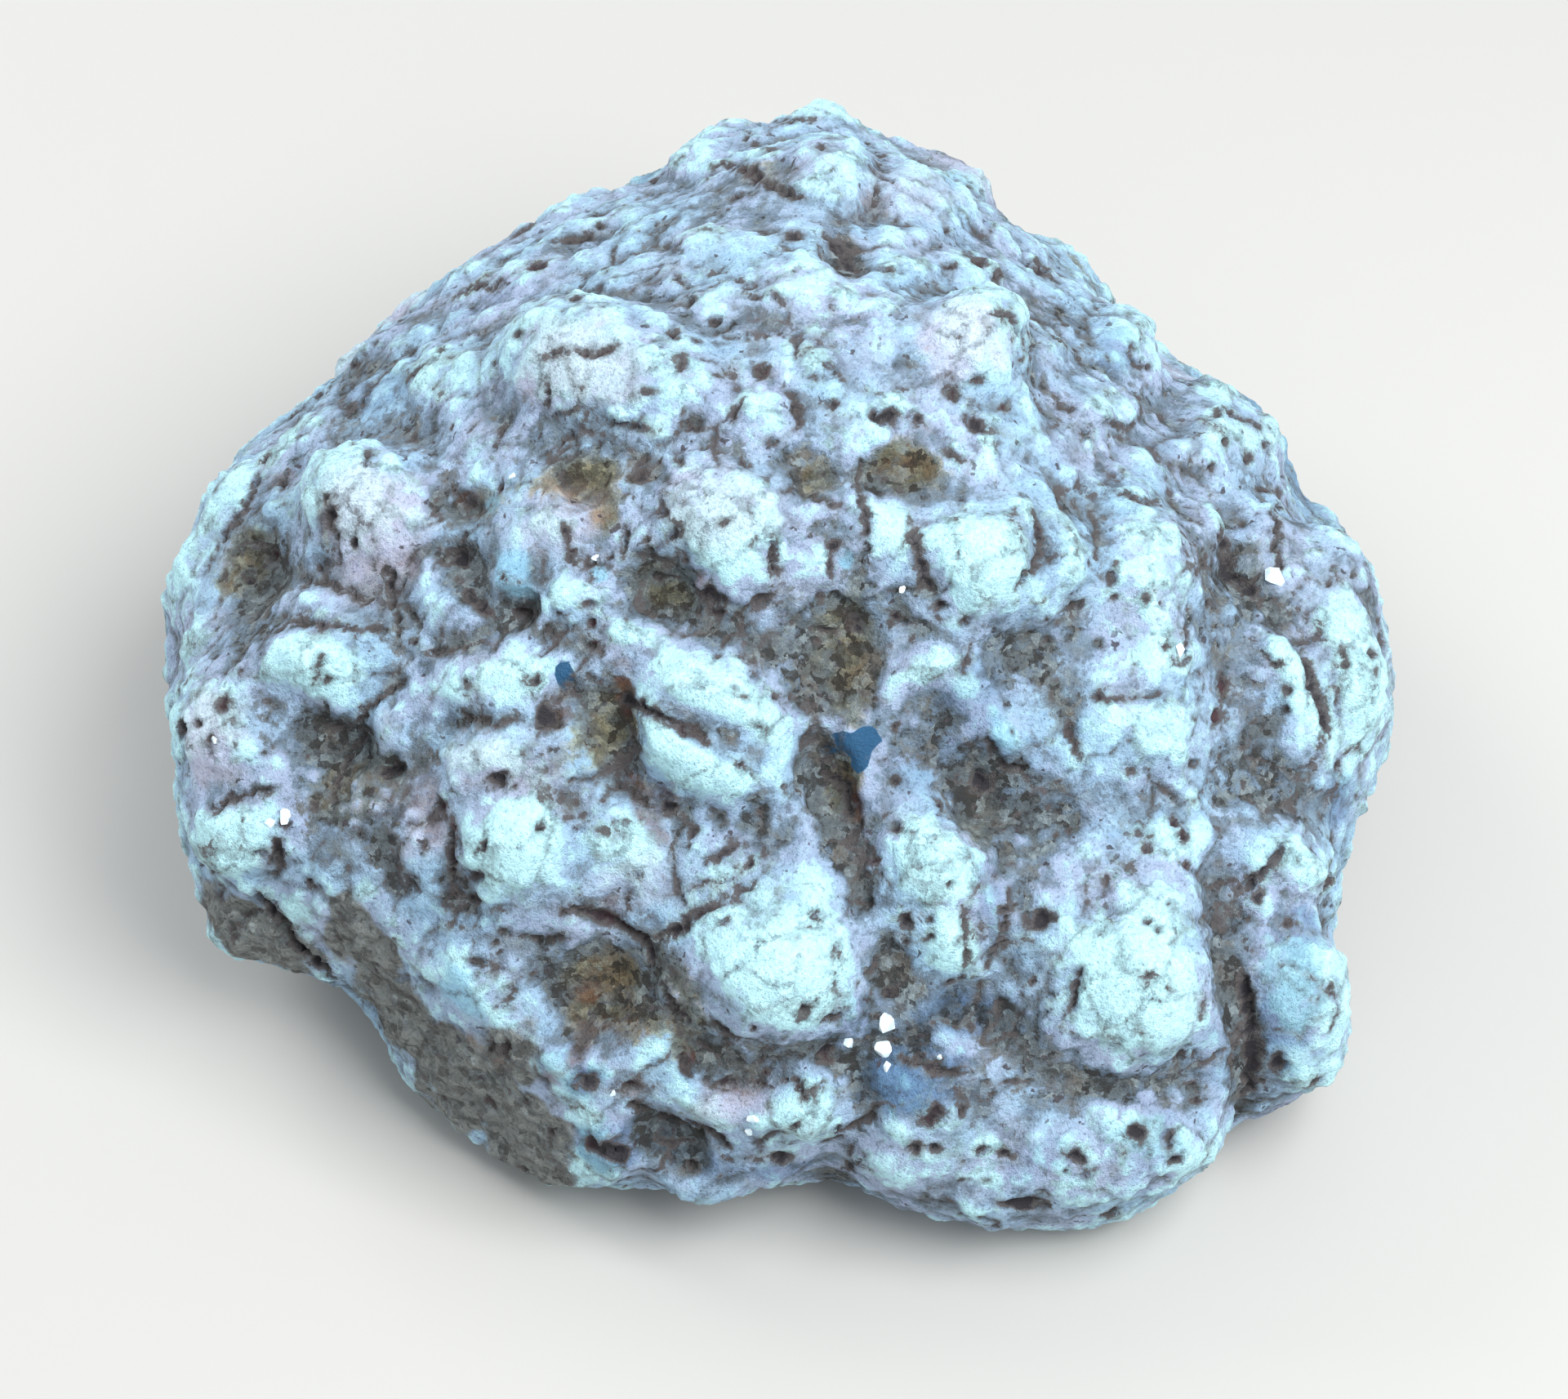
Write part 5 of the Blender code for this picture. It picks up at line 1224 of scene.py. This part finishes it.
def stained(graph, tone, ragged, mixed):
    """The ochre off the crests, the slate-blue crust with its painted shadow under the front bosses, and the
    rust.
    """
    ochre = graph.add(graph.attribute("ochre"), graph.times(ragged, 0.3))
    ochre = graph.add(ochre, graph.step(mixed, -0.2, 0.4, -0.9))
    tone = graph.multiply(graph.step(ochre, 0.15, 1.0), tone, OCHRE_SHADE)
    # The slate wash is partly real slate-blue crust and partly painted shadow under the front bosses
    slate_and_shadow = graph.add(graph.attribute("slate_and_shadow"), graph.times(ragged, 0.15))
    tone = graph.multiply(graph.step(slate_and_shadow, 0.1, 0.9), tone, SLATE_SHADE)
    rust = graph.add(graph.attribute("rust"), graph.times(ragged, 0.4))
    rust_tone = graph.mix(graph.step(graph.noise(3.0, 6), -0.4, 0.4), RUST_BROWN, GARNET)
    return graph.mix(graph.step(rust, 0.25, 1.1, 0.75), tone, rust_tone)


def speckled(graph, tone, level):
    """Tiny dark mineral specks, fewest on the crests."""
    distance, pick = graph.cells(1.6, 7)
    speck = graph.times(graph.step(pick, 0.8, 0.84), graph.step(graph.times(distance, -1.0), -0.3, -0.2))
    speck = graph.times(speck, graph.step(graph.times(level, -1.0), -0.6, 0.1, 0.9))
    return graph.mix(speck, tone, SPECK)


def gashed(graph, tone, clay_and_shade_tone, ragged, fine, small_pick):
    """Pits and cracks: a clayey rim, brown where they are shallow, and a black or garnet floor."""
    gash = graph.add(graph.attribute("gash"), graph.times(ragged, 0.25))
    gash = graph.add(gash, graph.times(fine, 0.22))
    gash = graph.add(gash, graph.times(graph.add(small_pick, -0.5), 0.4))
    tone = graph.mix(graph.step(gash, -0.75, 0.0, 0.6), tone, clay_and_shade_tone)
    tone = graph.mix(graph.step(gash, -0.15, 0.1, 0.9), tone, CRACK_BROWN)
    floor_tone = graph.mix(graph.step(graph.noise(14.0, 8), 0.0, 0.5), PIT_BLACK, PIT_RED)
    return graph.mix(graph.step(gash, 0.15, 0.6, 0.95), tone, floor_tone)


def crust_grit(graph, grains, grit):
    """The bump of grains too fine for the mesh."""
    bump = graph.nodes.new("ShaderNodeBump")
    bump.inputs["Strength"].default_value = 0.85
    bump.inputs["Distance"].default_value = 0.3 * MM
    height = graph.add(graph.times(grit, -0.7), graph.times(grains, 1.3))
    graph.links.new(height, bump.inputs["Height"])
    return bump.outputs["Normal"]


def quartz_finish():
    """Milky clear quartz, with a little cloud in it and a wet gloss."""
    material, shader = new_material("clear_quartz")
    graph = Graph(material)
    tone = graph.mix(graph.step(graph.noise(0.8, 41), -0.4, 0.6), QUARTZ_BLUE, QUARTZ_WHITE)
    graph.links.new(tone, shader.inputs["Base Color"])
    shader.inputs["Roughness"].default_value = 0.12
    shader.inputs["Coat Weight"].default_value = 0.6
    return material


def fasten(piece):
    """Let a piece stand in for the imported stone."""
    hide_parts("geode")
    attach(piece, "root")


def make_crust(node):
    """The whole visible stone, but for the clear grains. Returns its finished ground."""
    final, full, marks, lines, seams = grow_crust(node)
    crust = add_object("geode_crust", new_mesh("geode_crust", final.points, final.faces))
    paint(crust.data, final, full, marks, lines, seams)
    crust.data.materials.append(crust_finish())
    crust.data.polygons.foreach_set("use_smooth", np.ones(len(crust.data.polygons), dtype=bool))
    fasten(crust)
    return final


def make_sparkles(ground):
    """The clear quartz grains: small faceted blobs, half sunk in the crust."""
    chance = np.random.default_rng(SPARKLE_SEED)
    blobs = bmesh.new()
    for spot in SPARKLES:
        place, normal = ground.seen_at(spot.u, spot.v)
        row_a, row_b = seen_rows(normal, spot)
        wide = 1.0 / np.linalg.norm(row_a)
        long = 1.0 / np.linalg.norm(row_b)
        across = Vector(row_a).normalized()
        along = normal.cross(across)
        corners = []
        for _ in range(SPARKLE_CORNERS):
            way = Vector(chance.normal(0.0, 1.0, 3)).normalized()
            rise = normal * way.z * min(wide, long) * SPARKLE_PROUD
            offset = across * way.x * wide + along * way.y * long + rise
            corners.append(blobs.verts.new((place + offset) * MM))
        bmesh.ops.convex_hull(blobs, input=corners, use_existing_faces=False)
    mesh = bpy.data.meshes.new("quartz_grains")
    blobs.to_mesh(mesh)
    blobs.free()
    grains = add_object("quartz_grains", mesh)
    grains.data.materials.append(quartz_finish())
    fasten(grains)


def lay_floor():
    """A plain pale floor."""
    half = FLOOR_SIZE / 2.0
    corners = np.array([(-half, -half, 0.0), (half, -half, 0.0), (half, half, 0.0), (-half, half, 0.0)])
    floor = add_object("floor", new_mesh("floor", corners, np.array([[0, 1, 2, 3]])))
    material, shader = new_material("pale_floor")
    shader.inputs["Base Color"].default_value = FLOOR_TONE
    shader.inputs["Roughness"].default_value = FLOOR_ROUGHNESS
    floor.data.materials.append(material)


def place_camera():
    """The photograph's eye."""
    data = bpy.data.cameras.new("camera")
    data.sensor_width = SENSOR
    data.lens = SENSOR * PIXELS_PER_MM * VIEW_DISTANCE / PHOTO_SIZE[0]
    data.clip_start = NEAR_CLIP
    camera = add_object("camera", data)
    turned = Matrix((VIEW_RIGHT, VIEW_UP, -VIEW_FORWARD)).transposed().to_4x4()
    turned.translation = EYE * MM
    camera.matrix_world = turned
    bpy.context.scene.camera = camera


def add_softbox(name, place, size, power, tone):
    """A square light that looks at the stone from a place in mm."""
    data = bpy.data.lights.new(name, "AREA")
    data.shape = "SQUARE"
    data.size = size * MM
    data.energy = power
    data.color = tone
    light = add_object(name, data)
    light.location = Vector(place) * MM
    light.rotation_euler = (Vector(place) - AIM_POINT).to_track_quat("Z", "Y").to_euler()


def light_studio():
    """Cool soft light from above and the right, a weaker one from behind on the left, and a dim surround."""
    for name, place, size, power, tone in LIGHTS:
        add_softbox(name, place, size, power, tone)
    world = bpy.data.worlds.new("surround")
    world.use_nodes = True
    background = world.node_tree.nodes["Background"]
    background.inputs["Color"].default_value = SURROUND_TONE
    background.inputs["Strength"].default_value = SURROUND_STRENGTH
    bpy.context.scene.world = world
    bpy.context.scene.view_settings.view_transform = "Standard"


make_sparkles(make_crust(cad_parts["geode"]))
lay_floor()
place_camera()
light_studio()
